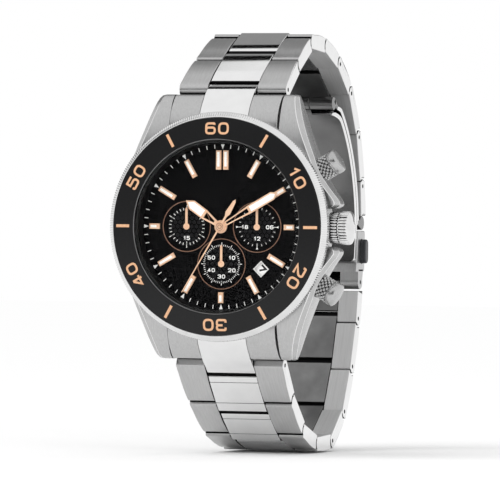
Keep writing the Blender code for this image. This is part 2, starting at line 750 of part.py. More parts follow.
def make_hands():
    gap = RUNNING_GAP
    centre_hand("hour_hand", HOUR_LENGTH, HOUR_WIDTH, MINUTE_TUBE + gap, HOUR_TUBE, HOUR_UNDERSIDE, HOUR_ANGLE)
    centre_hand(
        "minute_hand", MINUTE_LENGTH, MINUTE_WIDTH, CHRONO_POST + gap, MINUTE_TUBE, MINUTE_UNDERSIDE, MINUTE_ANGLE
    )
    top = CHRONO_UNDERSIDE + HAND_THICKNESS
    root, tip = (width / 2 for width in CHRONO_WIDTHS)
    weight, start = CHRONO_WEIGHT_WIDTH / 2, -CHRONO_WEIGHT_START
    right = [(root, 0), (root, start + 0.2), (weight, start - 0.2), (weight, -CHRONO_TAIL)]
    left = [(-x, y) for x, y in reversed(right)]
    needle = prism([(-tip, CHRONO_LENGTH), (tip, CHRONO_LENGTH)] + right + left, CHRONO_UNDERSIDE, top)
    plate = joined(needle, rod(CHRONO_HUB, CHRONO_UNDERSIDE - HUB_STEP, top + INDEX_ROOT, SMALL_TURN))
    plate = joined(plate, rod(CHRONO_POST, POST_END, top, TINY_TURN))
    part("chrono_seconds_hand", plate, ROSE_GOLD, hand_place(0, 0, CHRONO_ANGLE))
    for name, place in SUBDIALS.items():
        small_hand(name + "_hand", place)


# Movement


def make_movement():
    holes = [circle(HOUR_TUBE + RUNNING_GAP, SMALL_TURN)]
    holes += [circle(SMALL_POST + RUNNING_GAP, TINY_TURN, place) for place in SUBDIALS.values()]
    plate = prism(circle(MOVEMENT_RADIUS, CASE_TURN), *MOVEMENT_HEIGHTS, holes)
    stem_hole = rod(STEM_RADIUS + RUNNING_GAP, STEM_START - 0.5, CASE_RADIUS, TINY_TURN)
    plate = cut(plate, moved(stem_hole, radial_in_front(0)))
    part("movement_plate", moved(plate, FRONT), BRASS)
    outside = CAVITY_RADIUS - HOLDER_GAP
    holder = ring(outside - HOLDER_WALL, outside, *HOLDER_HEIGHTS, CASE_TURN)
    for degrees in (0, PUSHER_ANGLE, -PUSHER_ANGLE):
        hole = rod(PUSHER_STEM + PUSHER_STEM_GAP, STEM_START, CASE_RADIUS, TINY_TURN)
        holder = cut(holder, moved(hole, radial_in_front(degrees)))
    part("movement_holder", moved(holder, FRONT), PLASTIC)
    cell = prism(circle(BATTERY_RADIUS, BATTERY_TURN, BATTERY_PLACE), *BATTERY_HEIGHTS)
    part("battery", moved(cell, FRONT), STEEL)
    x, y = BATTERY_PLACE
    start, reach = (BATTERY_RADIUS + beyond for beyond in CLAMP_FOOT)
    strip = box_outline(x - reach, x + reach, y - CLAMP_WIDTH / 2, y + CLAMP_WIDTH / 2)
    top = BATTERY_HEIGHTS[0] - SEAT_GAP
    strap = prism(strip, top - CLAMP_THICKNESS, top)
    foot = box_outline(x + start, x + reach, y - CLAMP_WIDTH / 2, y + CLAMP_WIDTH / 2)
    strap = joined(strap, prism(foot, top - CLAMP_THICKNESS / 2, MOVEMENT_HEIGHTS[0] - SEAT_GAP))
    part("battery_clamp", moved(strap, FRONT), STEEL)
    half_moon = arc((0, 0), MOVEMENT_RADIUS - BOARD_INSET, *BOARD_ANGLES, CASE_TURN // 2)
    part("circuit_board", moved(prism(half_moon, *BOARD_HEIGHTS), FRONT), BOARD_GREEN)
    middle, level, height = COIL_PLACE
    half = COIL_LENGTH / 2
    coil = prism(circle(COIL_RADIUS, TINY_TURN, (level, height)), middle - half, middle + half)
    part("drive_coil", moved(moved(coil, ACROSS), FRONT), COPPER)


# Crown and pushers


def make_crown():
    aim = radial(0)
    tube = ring(TUBE_BORE, TUBE_RADIUS, TUBE_START, TUBE_END, SMALL_TURN)
    part("crown_tube", moved(tube, aim), STEEL)
    waist = (CROWN_START + CROWN_END) / 2 - 0.2
    cap = turned(
        [
            (0, CROWN_BORE_END),
            (CROWN_BORE, CROWN_BORE_END),
            (CROWN_BORE, CROWN_START),
            (CROWN_RADIUS - CROWN_TIER - 0.25, CROWN_START),
            (CROWN_RADIUS - CROWN_TIER, CROWN_START + 0.3),
            (CROWN_RADIUS - CROWN_TIER, waist - 0.1),
            (CROWN_RADIUS - CROWN_GROOVE, waist),
            (CROWN_RADIUS, waist + 0.15),
            (CROWN_RADIUS, CROWN_END - 0.7),
            (CROWN_RADIUS - 0.8, CROWN_END - 0.1),
            (0, CROWN_END),
        ],
        FINE_TURN // 2,
    )
    part("crown", moved(cap, aim), STEEL)
    end = CROWN_GASKET_START + CROWN_GASKET_LENGTH
    seal = ring(TUBE_RADIUS + SEAT_GAP, CROWN_BORE - SEAT_GAP, CROWN_GASKET_START, end, SMALL_TURN)
    part("crown_gasket", moved(seal, aim), RUBBER)
    stem = rod(STEM_RADIUS, STEM_START, CROWN_BORE_END - SEAT_GAP, TINY_TURN)
    part("winding_stem", moved(stem, aim), STEEL)


def coil_spring(low, high):
    """A round wire coiled about +Z between two heights."""
    steps = SPRING_TURNS * SPRING_STEPS
    mesh = bmesh.new()
    sections = []
    for i in range(steps + 1):
        turn = math.radians(360 * SPRING_TURNS * i / steps)
        height = low + SPRING_WIRE + (high - low - 2 * SPRING_WIRE) * i / steps
        section = []
        for x, z in circle(SPRING_WIRE, WIRE_TURN):
            reach = SPRING_RADIUS + x
            section.append(mesh.verts.new((reach * math.cos(turn), reach * math.sin(turn), height + z)))
        sections.append(section)
    for one, two in zip(sections, sections[1:]):
        for i in range(WIRE_TURN):
            j = (i + 1) % WIRE_TURN
            mesh.faces.new((one[i], one[j], two[j], two[i]))
    mesh.faces.new(sections[0])
    mesh.faces.new(sections[-1])
    bmesh.ops.recalc_face_normals(mesh, faces=mesh.faces)
    return mesh


def make_pusher(word, degrees):
    aim = radial(degrees)
    button = turned(
        [
            (0, PUSHER_STEM_START),
            (PUSHER_STEM, PUSHER_STEM_START),
            (PUSHER_STEM, PUSHER_BORE_END),
            (PUSHER_BORE, PUSHER_BORE_END),
            (PUSHER_BORE, PUSHER_START),
            (PUSHER_RADIUS - 0.1, PUSHER_START),
            (PUSHER_RADIUS, PUSHER_START + 0.2),
            (PUSHER_RADIUS, PUSHER_END - 0.6),
            (PUSHER_RADIUS - 0.4, PUSHER_END - 0.1),
            (0, PUSHER_END),
        ],
        FINE_TURN // 2,
    )
    part("pusher_" + word, moved(button, aim), STEEL)
    sleeve = ring(SLEEVE_BORE, SLEEVE_RADIUS, TUBE_START, SLEEVE_END, SMALL_TURN)
    part("pusher_sleeve_" + word, moved(sleeve, aim), STEEL)
    spring = coil_spring(SLEEVE_END + SEAT_GAP, PUSHER_BORE_END - SEAT_GAP)
    part("pusher_spring_" + word, moved(spring, aim), STEEL)


# Bracelet


def pitch_of(number):
    return LAST_PITCH if number == LINK_COUNT else LINK_PITCH


def direction(lean, end):
    """The way that a link points, as (y, z). end is 1 above the case and -1 below it."""
    turn = math.radians(lean)
    return Vector((math.sin(turn), end * math.cos(turn)))


def hinges(leans, end):
    """The (y, z) of every hinge of one half, from the case to the clasp."""
    spot = Vector((FIRST_HINGE[0], end * FIRST_HINGE[1]))
    spots = [spot]
    for number, lean in enumerate(leans, 1):
        spot = spot + pitch_of(number) * direction(lean, end)
        spots.append(spot)
    return spots


def link_place(spot, lean, end):
    """A link's own axes: across the bracelet, along it and outwards."""
    along = direction(lean, end)
    outwards = Vector((-end * along.y, end * along.x))
    across = Vector((end, 0, 0))
    place = Matrix.Identity(4)
    for column, axis in enumerate((across, Vector((0, *along)), Vector((0, *outwards)))):
        for row in range(3):
            place[row][column] = axis[row]
    place.translation = Vector((0, *spot))
    return place


def knuckle(centre, start, end):
    """A round end about a hinge, of the links' own thickness."""
    return arc(centre, LINK_THICKNESS / 2, start, end, 5)


def socket(centre, gap, start, end):
    """A hollow end that takes the next round end with a gap."""
    return arc(centre, LINK_THICKNESS / 2 + gap, start, end, 3)


def outer_outline(pitch, open_end=False):
    """The side view of an outer piece: round at its near hinge, hollow for the next link's end."""
    half = LINK_THICKNESS / 2
    crown = half + LINK_CROWN
    start, stop = (pitch * share for share in OUTER_CROWN)
    if open_end:
        far = pitch - half - HINGE_GAP - OPEN_END
        hollow = [(far, -half), (far, half - OPEN_END), (far - OPEN_END, half)]
    else:
        hollow = [(pitch - LINK_LIP, -half)] + socket((pitch, 0), HINGE_GAP, 230, 130)
        hollow += [(pitch - LINK_LIP, half + LINK_EDGE)]
    return knuckle((0, 0), 90, 270) + hollow + [(start, crown), (stop, crown)]


def middle_outline(pitch):
    """The side view of a middle piece, which starts and ends further from the case."""
    half = LINK_THICKNESS / 2
    crown = half + LINK_CROWN
    start, stop = (pitch * share for share in MIDDLE_CROWN)
    near = socket((0, 0), CENTRE_GAP, 50, -50) + [(MIDDLE_START, -half)]
    return near + knuckle((pitch, 0), -90, 90) + [(start, crown), (stop, crown), (MIDDLE_START, half + LINK_EDGE)]


def hinge_pin(reach):
    return across_prism(circle(PIN_RADIUS, TINY_TURN), -reach, reach)


def make_link(name, number, spot, lean, end, open_end):
    pitch, half_width = pitch_of(number), LINK_WIDTHS[number - 1] / 2
    middle = MIDDLE_WIDTH / 2
    bore = circle(PIN_RADIUS + RUNNING_GAP, TINY_TURN, (pitch, 0))
    link = across_prism(middle_outline(pitch), -middle, middle, [bore])
    outline = outer_outline(pitch, open_end)
    inside = middle + HINGE_GAP
    for side in (1, -1):
        link = joined(link, across_prism(outline, *sorted((side * inside, side * half_width))))
    near, far = pitch / 2 - TAB_LENGTH / 2, pitch / 2 + TAB_LENGTH / 2
    tab = box_outline(near, far, -TAB_THICKNESS / 2, TAB_THICKNESS / 2)
    reach = inside + TAB_REACH
    link = joined(link, across_prism(tab, -reach, reach), hinge_pin(inside + PIN_REACH))
    part(name, link, STEEL, link_place(spot, lean, end))


def make_bracelet():
    for word, leans, end in (("upper", UPPER_LEANS, 1), ("lower", LOWER_LEANS, -1)):
        spots = hinges(leans, end)
        for number in range(1, LINK_COUNT + 1):
            free = word == "lower" and number == LINK_COUNT
            make_link(f"{word}_link_{number}", number, spots[number - 1], leans[number - 1], end, free)
        make_end_link(word, end)


def make_end_link(word, end):
    """The piece that fills the space between two lugs. Its outlines are drawn along z and height."""
    hinge = (FIRST_HINGE[1], -FIRST_HINGE[0])
    facing = -END_LINK_LEAN
    back = facing + 180
    foot = CASE_RADIUS - END_LINK_FOOT
    low, high = END_LINK_ROOT_HEIGHTS
    roof = [(foot, high)] + [(hinge[0] - below, height) for below, height in END_LINK_ROOF]
    floor = [(hinge[0] - END_LINK_FLOOR[0], END_LINK_FLOOR[1]), (foot, low)]
    lip = [(hinge[0] - END_LINK_LIP[0], END_LINK_LIP[1])]
    middle_side = roof + knuckle(hinge, facing + 90, facing - 90) + floor
    outer_side = roof + lip + socket(hinge, HINGE_GAP, back - 50, back + 50) + floor
    bar_hole = circle(SPRING_BAR_RADIUS + SPRING_BAR_GAP, TINY_TURN, SPRING_BAR_PLACE)
    pin_hole = circle(PIN_RADIUS + RUNNING_GAP, TINY_TURN, hinge)
    middle = MIDDLE_WIDTH / 2
    reach = LUG_WIDTH / 2 - END_LINK_SIDE_GAP
    solid = across_prism(middle_side, -middle, middle, [bar_hole, pin_hole])
    for side in (1, -1):
        cheek = across_prism(outer_side, *sorted((side * (middle - 0.02), side * reach)), [bar_hole])
        solid = joined(solid, cheek)
    # The outlines stand along z and height, so they are turned into the front view's axes first
    solid = cut(solid, rod(CASE_RADIUS + HINGE_GAP, CASE_UNDERSIDE - 2, NECK_TOP, CASE_TURN))
    turn = FRONT if end > 0 else Matrix.Rotation(math.radians(180), 4, "Y") @ FRONT
    part("end_link_" + word, moved(solid, turn), STEEL)
    body, tip = LUG_WIDTH / 2 - SPRING_BAR_SHOULDER, LUG_WIDTH / 2 + SPRING_BAR_TIP_LENGTH
    bar = across_prism(circle(SPRING_BAR_RADIUS, TINY_TURN, SPRING_BAR_PLACE), -body, body)
    bar = joined(bar, across_prism(circle(SPRING_BAR_TIP, TINY_TURN, SPRING_BAR_PLACE), -tip, tip))
    part("spring_bar_" + word, moved(bar, turn), STEEL)


# Clasp


UPPER_END = hinges(UPPER_LEANS, 1)[-1]
LOWER_END = hinges(LOWER_LEANS, -1)[-1]
CLASP_CENTRE = (UPPER_END.x - LEAF_RADIUS - LEAF_OVERHANG, UPPER_END.y - LEAF_DROP)
HOUSING_TOP = UPPER_END.y - HOUSING_TOP_GAP
HOUSING_BOTTOM = LOWER_END.y + HOUSING_BOTTOM_GAP
HOUSING_OUTSIDE = LOWER_END.x + HOUSING_DEPTH
BUTTON_CENTRE = (HOUSING_OUTSIDE - BUTTON_INSET, (HOUSING_TOP + HOUSING_BOTTOM) / 2)
BUTTON_HALF_LENGTH = BUTTON_SHARE * (HOUSING_TOP - HOUSING_BOTTOM)


def angle_at(radius, z):
    """The angle at which a circle about the clasp's centre reaches this z."""
    return math.degrees(math.asin((z - CLASP_CENTRE[1]) / radius))


def barrel_place():
    x, y = polar(BARREL_DISTANCE, BARREL_ANGLE)
    return CLASP_CENTRE[0] + x, CLASP_CENTRE[1] + y


def knuckle_ramp(radius, thickness, end):
    """The side view of what joins a leaf's upper end to its knuckles."""
    outside = arc(CLASP_CENTRE, radius + thickness / 2, end - RAMP_START, BARREL_ANGLE, 2)
    inside = arc(CLASP_CENTRE, radius - thickness / 2, BARREL_ANGLE, end - RAMP_START, 2)
    return outside + inside


def curved_leaf(radius, thickness, angles):
    outside = arc(CLASP_CENTRE, radius + thickness / 2, *angles, LEAF_STEPS)
    inside = arc(CLASP_CENTRE, radius - thickness / 2, angles[1], angles[0], LEAF_STEPS)
    return outside + inside


def around(spot):
    """Moves a mesh drawn in the clasp's plane so that a hinge lies at its origin."""
    return Matrix.Translation((0, -spot[0], -spot[1]))


def on_hinge(spot):
    return Matrix.Translation((0, spot[0], spot[1]))


def make_fold_leaf(hinge):
    """The outer leaf: ears on the last upper link, a curved plate and two knuckles at its top."""
    half = CLASP_WIDTH / 2
    middle = MIDDLE_WIDTH / 2 + HINGE_GAP
    leaf = across_prism(curved_leaf(LEAF_RADIUS, LEAF_THICKNESS, LEAF_ANGLES), -half, half)
    inner = LEAF_RADIUS - LEAF_THICKNESS / 2 + CLASP_CENTRE[0]
    ear_radius = LINK_THICKNESS / 2
    ear = arc(hinge, ear_radius, -100, 150, 8) + [(inner + 0.3, hinge[1] + 0.6), (inner + 0.05, hinge[1] - 0.4)]
    barrel = barrel_place()
    knuckle_outline = circle(BARREL_RADIUS, TINY_TURN, barrel)
    span = BARREL_MIDDLE / 2 + HINGE_GAP
    ramp = knuckle_ramp(LEAF_RADIUS, LEAF_THICKNESS, LEAF_ANGLES[1])
    for side in (1, -1):
        leaf = joined(leaf, across_prism(ear, *sorted((side * middle, side * half))))
        reach = sorted((side * span, side * (half - CLASP_INSET)))
        leaf = joined(leaf, across_prism(ramp, *reach), across_prism(knuckle_outline, *reach))
    pin = circle(PIN_RADIUS, TINY_TURN, hinge)
    leaf = joined(leaf, across_prism(pin, -half + 1, half - 1))
    pin = circle(PIN_RADIUS, TINY_TURN, barrel)
    leaf = joined(leaf, across_prism(pin, -half + 1, half - 1))
    part("clasp_fold_leaf", moved(leaf, around(hinge)), STEEL, on_hinge(hinge))


def make_blade():
    """The inner leaf, nearest the wrist, with the middle knuckle of the folding hinge."""
    half = CLASP_WIDTH / 2
    barrel = barrel_place()
    start = angle_at(BLADE_RADIUS, HOUSING_BOTTOM + BLADE_FOOT)
    blade = across_prism(curved_leaf(BLADE_RADIUS, BLADE_THICKNESS, (start, BLADE_END)), -half, half)
    span = BARREL_MIDDLE / 2
    ramp = knuckle_ramp(BLADE_RADIUS, BLADE_THICKNESS, BLADE_END)
    blade = joined(blade, across_prism(ramp, -span, span))
    blade = joined(blade, across_prism(circle(BARREL_RADIUS, TINY_TURN, barrel), -span, span))
    blade = cut(blade, across_prism(circle(PIN_RADIUS + RUNNING_GAP, TINY_TURN, barrel), -span - 1, span + 1))
    part("clasp_blade", moved(blade, around(barrel)), POLISHED, on_hinge(barrel))


def stadium(centre, half_length, half_width):
    """A rounded slot outline, long along z."""
    y, z = centre
    straight = half_length - half_width
    return arc((y, z + straight), half_width, 0, 180, 6) + arc((y, z - straight), half_width, 180, 360, 6)


def housing_side():
    """The side view of the latch housing, which follows the blade on its inside."""
    radius = BLADE_RADIUS + BLADE_THICKNESS / 2 + SEAT_GAP
    low, high = angle_at(radius, HOUSING_BOTTOM), angle_at(radius, HOUSING_TOP)
    outside = [
        (HOUSING_OUTSIDE - HOUSING_CORNER, HOUSING_TOP),
        (HOUSING_OUTSIDE, HOUSING_TOP - HOUSING_CORNER),
        (HOUSING_OUTSIDE - HOUSING_LEAN, HOUSING_BOTTOM + HOUSING_CORNER),
        (HOUSING_OUTSIDE - HOUSING_LEAN - 0.45, HOUSING_BOTTOM),
    ]
    return arc(CLASP_CENTRE, radius, low, high, 4) + outside


def make_housing(hinge):
    """The latch housing on the blade, with ears for the last lower link and the two push buttons."""
    half = CLASP_WIDTH / 2 + HOUSING_EDGE
    middle = MIDDLE_WIDTH / 2 + HINGE_GAP
    barrel = barrel_place()
    housing = across_prism(housing_side(), -half, half)
    ear_top = HOUSING_BOTTOM + EAR_RISE
    ear = arc(hinge, LINK_THICKNESS / 2, 20, -200, 8)
    ear += [(hinge[0] - LINK_THICKNESS / 2, ear_top), (HOUSING_OUTSIDE - 0.9, ear_top)]
    for side in (1, -1):
        housing = joined(housing, across_prism(ear, *sorted((side * middle, side * half))))
    room = half - BUTTON_POCKET
    outer, roof = HOUSING_OUTSIDE - HOUSING_WALL, HOUSING_TOP - HOUSING_WALL
    cavity = box_outline(CLASP_CENTRE[0] + BLADE_RADIUS - 5, outer, HOUSING_BOTTOM + HOUSING_FLOOR, roof)
    housing = cut(housing, across_prism(cavity, BUTTON_TRAVEL - room, room - BUTTON_TRAVEL))
    y, z = BUTTON_CENTRE
    pocket = stadium(BUTTON_CENTRE, BUTTON_HALF_LENGTH + RUNNING_GAP, BUTTON_HALF_WIDTH + RUNNING_GAP)
    stem_hole = circle(BUTTON_STEM + RUNNING_GAP, TINY_TURN, (y, z))
    for side in (1, -1):
        housing = cut(housing, across_prism(pocket, *sorted((side * room, side * (half + 2)))))
        housing = cut(housing, across_prism(stem_hole, *sorted((side * 4.0, side * (room + 0.5)))))
    part("clasp_housing", moved(housing, around(barrel)), STEEL, on_hinge(barrel))
    for word, side in (("right", 1), ("left", -1)):
        head = stadium(BUTTON_CENTRE, BUTTON_HALF_LENGTH, BUTTON_HALF_WIDTH)
        floor = room + BUTTON_TRAVEL + 0.1
        button = across_prism(head, *sorted((side * floor, side * (half + BUTTON_PROUD))))
        stem = circle(BUTTON_STEM, TINY_TURN, (y, z))
        inner_end = room - BUTTON_STEM_LENGTH
        button = joined(button, across_prism(stem, *sorted((side * inner_end, side * (floor + 0.3)))))
        flange = circle(BUTTON_FLANGE, TINY_TURN, (y, z))
        places = [side * (room - place) for place in BUTTON_FLANGE_PLACES]
        button = joined(button, across_prism(flange, *sorted(places)))
        shift = Matrix.Translation((0, -y, -z))
        part("clasp_button_" + word, moved(button, shift), DARK_STEEL, Matrix.Translation((0, y, z)))
    reach = room - BUTTON_STEM_LENGTH - SEAT_GAP
    shoulder, crest = BUTTON_SPRING_RISE
    strip = [(-reach, z), (-reach / 2, z + shoulder), (0, z + crest), (reach / 2, z + shoulder), (reach, z)]
    lower = [(x, level - BUTTON_SPRING_THICKNESS) for x, level in reversed(strip)]
    leaf_spring = prism(strip + lower, -y - BUTTON_SPRING_WIDTH / 2, -y + BUTTON_SPRING_WIDTH / 2)
    part("clasp_button_spring", moved(leaf_spring, FRONT), STEEL)


def make_clasp():
    make_fold_leaf(tuple(UPPER_END))
    make_blade()
    make_housing(tuple(LOWER_END))
    reach = MIDDLE_WIDTH / 2 - SEAT_GAP
    part("clasp_spring_bar", hinge_pin(reach), STEEL, on_hinge(LOWER_END))


def clear_scene():
    for item in list(bpy.data.objects):
        bpy.data.objects.remove(item)


clear_scene()
make_case()
make_case_back()
make_glass()
make_bezel()
make_dial()
make_date_wheel()
make_hands()
make_movement()
make_crown()
make_pusher("upper", PUSHER_ANGLE)
make_pusher("lower", -PUSHER_ANGLE)
make_bracelet()
make_clasp()
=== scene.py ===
import json
import math

import bmesh
import bpy
from mathutils import Matrix, Vector
from mathutils.geometry import tessellate_polygon


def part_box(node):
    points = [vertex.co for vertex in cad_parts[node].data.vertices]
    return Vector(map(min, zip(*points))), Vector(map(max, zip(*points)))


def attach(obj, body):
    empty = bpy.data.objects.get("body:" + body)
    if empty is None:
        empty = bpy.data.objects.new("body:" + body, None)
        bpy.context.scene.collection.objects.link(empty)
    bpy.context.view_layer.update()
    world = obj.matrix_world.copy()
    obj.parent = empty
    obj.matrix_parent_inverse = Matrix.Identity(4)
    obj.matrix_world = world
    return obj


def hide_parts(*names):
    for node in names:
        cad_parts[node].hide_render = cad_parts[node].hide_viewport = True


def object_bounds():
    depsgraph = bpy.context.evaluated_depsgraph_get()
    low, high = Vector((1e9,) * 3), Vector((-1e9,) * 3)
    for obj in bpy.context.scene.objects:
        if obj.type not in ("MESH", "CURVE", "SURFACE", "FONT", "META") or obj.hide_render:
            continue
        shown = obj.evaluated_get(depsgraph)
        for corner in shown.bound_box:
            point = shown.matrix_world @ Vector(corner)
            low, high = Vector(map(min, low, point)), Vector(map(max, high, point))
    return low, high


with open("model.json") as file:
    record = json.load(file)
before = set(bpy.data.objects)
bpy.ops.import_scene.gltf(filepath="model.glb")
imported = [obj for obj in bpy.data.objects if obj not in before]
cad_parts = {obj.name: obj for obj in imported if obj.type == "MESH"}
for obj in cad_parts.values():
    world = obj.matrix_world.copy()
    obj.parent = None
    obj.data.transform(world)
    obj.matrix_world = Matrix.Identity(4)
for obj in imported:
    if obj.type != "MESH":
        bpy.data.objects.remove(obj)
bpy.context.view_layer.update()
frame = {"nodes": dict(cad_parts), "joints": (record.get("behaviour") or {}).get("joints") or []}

print("watch frame loaded")

mm = 0.001
toFront = Matrix.Rotation(math.radians(90), 4, "X")  # dial plane x, y and height become X, Z and -Y
toSide = Matrix(((0, 0, 1, 0), (1, 0, 0, 0), (0, 1, 0, 0), (0, 0, 0, 1)))  # side view and width become Y, Z and X


# colours and materials

def hexColour(code):
    channels = [int(code[i:i + 2], 16) / 255 for i in (1, 3, 5)]
    linear = [c / 12.92 if c <= 0.04045 else ((c + 0.055) / 1.055) ** 2.4 for c in channels]
    return (*linear, 1)


def addNode(material, kind, settings=None, links=None, ramp=None):
    node = material.node_tree.nodes.new(kind)
    for key, value in (settings or {}).items():
        if key in node.inputs:
            node.inputs[key].default_value = value
        else:
            setattr(node, key, value)
    for key, output in (links or {}).items():
        material.node_tree.links.new(output, node.inputs[key])
    if ramp:
        stops = node.color_ramp.elements
        while len(stops) < len(ramp):
            stops.new(0.5)
        for stop, (place, colour) in zip(stops, ramp):
            stop.position = place
            stop.color = colour
    return node


def newMaterial(name, settings):
    material = bpy.data.materials.new(name)
    material.use_nodes = True
    shader = material.node_tree.nodes["Principled BSDF"]
    for key, value in settings.items():
        shader.inputs[key].default_value = value
    return material, shader


def connect(material, output, socket):
    material.node_tree.links.new(output, socket)


def grainedSurface(name, dark, light, settings, grain, stretch=None, band=(0.3, 0.7), rough=None, bump=None,
                   rays=False):
    # one noise drives the tone and, where given, the roughness (from, to) and the bump (strength, depth in mm)
    material, shader = newMaterial(name, settings)
    spot = addNode(material, "ShaderNodeTexCoord").outputs["Object"]
    if stretch:
        spot = addNode(material, "ShaderNodeMapping", {"Scale": stretch}, {"Vector": spot}).outputs["Vector"]
    source = {"Vector": spot}
    if rays:  # the marks run outwards from the middle of the dial
        split = addNode(material, "ShaderNodeSeparateXYZ", {}, {"Vector": spot})
        angle = addNode(material, "ShaderNodeMath", {"operation": "ARCTAN2"},
                        {0: split.outputs["X"], 1: split.outputs["Z"]})
        source = {"W": angle.outputs["Value"]}
    marks = addNode(material, "ShaderNodeTexNoise", grain, source).outputs["Fac"]
    tone = addNode(material, "ShaderNodeValToRGB", {}, {"Fac": marks},
                   [(place, hexColour(code)) for place, code in zip(band, (dark, light))])
    connect(material, tone.outputs["Color"], shader.inputs["Base Color"])
    if rough:
        level = addNode(material, "ShaderNodeMapRange", {"To Min": rough[0], "To Max": rough[1]}, {"Value": marks})
        connect(material, level.outputs["Result"], shader.inputs["Roughness"])
    if bump:
        relief = addNode(material, "ShaderNodeBump", {"Strength": bump[0], "Distance": bump[1] * mm},
                         {"Height": marks})
        connect(material, relief.outputs["Normal"], shader.inputs["Normal"])
    return material


def brushedMetal(name, dark, light, roughness, grain, spacing=0.22, length=9.0, metallic=1.0):
    # grain is the axis that the belt ran along; spacing and length are in mm, coarser than real belt marks
    across, along = 1 / (spacing * mm), 1 / (length * mm)
    stretch = tuple(along if axis == grain else across for axis in "xyz")
    return grainedSurface(name, dark, light, {"Metallic": metallic, "Roughness": roughness},
                          {"Scale": 1.0, "Detail": 4.0, "Roughness": 0.65}, stretch, (0.25, 0.75),
                          (roughness - 0.06, roughness + 0.08), (0.35, 0.012))


def smoothMetal(name, dark, light, roughness, size=2.5, metallic=1.0):
    # faint waviness that a buffing wheel leaves, size in mm
    return grainedSurface(name, dark, light, {"Metallic": metallic, "Roughness": roughness},
                          {"Scale": 1 / (size * mm), "Detail": 3.0}, rough=(roughness * 0.93, roughness * 1.09))


def paintedSurface(name, dark, light, roughness, size=0.4, depth=0.004, ior=1.5):
    # fine orange peel of a sprayed, moulded or printed skin, size and depth in mm
    return grainedSurface(name, dark, light, {"Metallic": 0.0, "Roughness": roughness, "IOR": ior},
                          {"Scale": 1 / (size * mm), "Detail": 3.0}, bump=(0.3, depth))


# 316L steel, belt-brushed: satin grey with fine parallel scratches
linkSteel = brushedMetal("brushedSteelLinks", "#b2b2b2", "#c6c6c6", 0.3, "y")
caseSteel = brushedMetal("brushedSteelCase", "#b2b2b2", "#c6c6c6", 0.3, "z")
# 316L steel, buffed: a bright mirror that is only slightly wavy
polishedSteel = smoothMetal("polishedSteel", "#e6e6e6", "#eaeaea", 0.07)
bezelSteel = smoothMetal("polishedBezelSteel", "#dcdcdc", "#e4e4e4", 0.12)
# the same steel, tumbled: flanks, bevels and the wrist side are duller than the faces that show, and the middle links'
# wrist side is painted dark grey as shade
satinSteel = smoothMetal("satinSteelFlank", "#b6b6b6", "#bebebe", 0.27)
wristSteel = brushedMetal("brushedSteelWristSide", "#b0b0b0", "#c6c6c6", 0.45, "y", metallic=0.5)
# dark grey steel for the middles' wrist side and the insert's inner edge: painted shade
shadeSteel = smoothMetal("wristSideSteelPaintedShade", "#686868", "#7c7c7c", 0.24, 4.0, 0.6)
# stamped clasp strips, buffed less than the links; their colour is painted dark grey as shade inside the bracelet's
# loop
claspShadeSteel = smoothMetal("stampedClaspSteelPaintedShade", "#6e6e6e", "#7e7e7e", 0.16, 6.0)
# steel deep in a seam or groove, painted near black as shade where little light gets in
seamShadeSteel = paintedSurface("seamSteelPaintedShade", "#070707", "#0e0e0f", 0.7, 0.3, ior=1.12)
# pins, tubes and springs, drawn wire and turned rod with a duller skin
drawnSteel = brushedMetal("drawnSteel", "#8f8f8f", "#b5b5b5", 0.35, "x", 0.15, 3.0)
# push buttons of the clasp, coated dark
coatedSteel = brushedMetal("darkCoatedSteel", "#3a3b3d", "#56575a", 0.35, "y")
# anodised aluminium insert, bead-blasted first: an even satin black
anodisedBlack = paintedSurface("anodisedAluminiumBlack", "#101011", "#161617", 0.3, 0.25, ior=1.38)
# copper-coloured print that fills the insert's figures
copperPrint = paintedSurface("copperPrint", "#cf9d77", "#deb08a", 0.4, 0.3)
# rose gold plate over brass, buffed
roseGold = smoothMetal("roseGoldPlate", "#f2c19d", "#fdd8b8", 0.2, 1.5, 0.25)
# thin turned rims of the same plate, matt and darker
rimGold = smoothMetal("roseGoldRim", "#7c5c4a", "#94705c", 0.4, 1.5, 0.2)
# pad-printed white ink on the dial
whiteInk = paintedSurface("whitePadPrint", "#e9e9e6", "#f7f7f4", 0.55, 0.2)
# luminous paint, cast thick and slightly grainy
lumePaint = paintedSurface("luminousPaint", "#f1efe9", "#fdfcf8", 0.6, 0.12, depth=0.01)
# black ink on the white date ring
blackInk = paintedSurface("blackPadPrint", "#141414", "#1c1c1c", 0.5, 0.2)
# moulded nylon date ring and crystal gasket
whiteNylon = paintedSurface("mouldedNylonWhite", "#fafaf8", "#fefefd", 0.5, 0.5)
greyNylon = paintedSurface("mouldedNylonGrey", "#77776f", "#8a8a82", 0.55, 0.5)
# nitrile rubber seals, moulded
nitrile = paintedSurface("nitrileRubber", "#191919", "#242424", 0.7, 0.3)
# movement: stamped brass plate, epoxy board and enamelled copper wire
stampedBrass = brushedMetal("stampedBrass", "#a8894c", "#c7a866", 0.34, "x", 0.2, 5.0)
epoxyBoard = paintedSurface("epoxyBoardGreen", "#1c4a2c", "#276238", 0.45, 0.6)
copperWire = brushedMetal("enamelledCopperWire", "#9c4f28", "#c4703f", 0.35, "z", 0.1, 4.0)
# black flange around the dial: matt lacquered brass ring that hardly reflects
flangeBlack = paintedSurface("lacquerFlange", "#0d0d0e", "#141415", 0.5, 0.3, depth=0.0003, ior=1.25)
# subdial floors: matt black lacquer under raised hexagons
subdialBlack = paintedSurface("mattLacquerSubdial", "#060607", "#0a0a0b", 0.5, 0.2, ior=1.15)
hexagonBlack = paintedSurface("satinLacquerHexagon", "#111112", "#18181a", 0.35, 0.2, ior=1.3)
# black lacquer over brass that was brushed outwards from the middle: fans of light turn with the view
dialLacquer = grainedSurface("sunburstLacquer", "#0b0b0c", "#161618", {"Metallic": 0.8, "Roughness": 0.32},
                             {"noise_dimensions": "1D", "Scale": 90.0, "Detail": 3.0}, bump=(0.25, 0.01), rays=True)


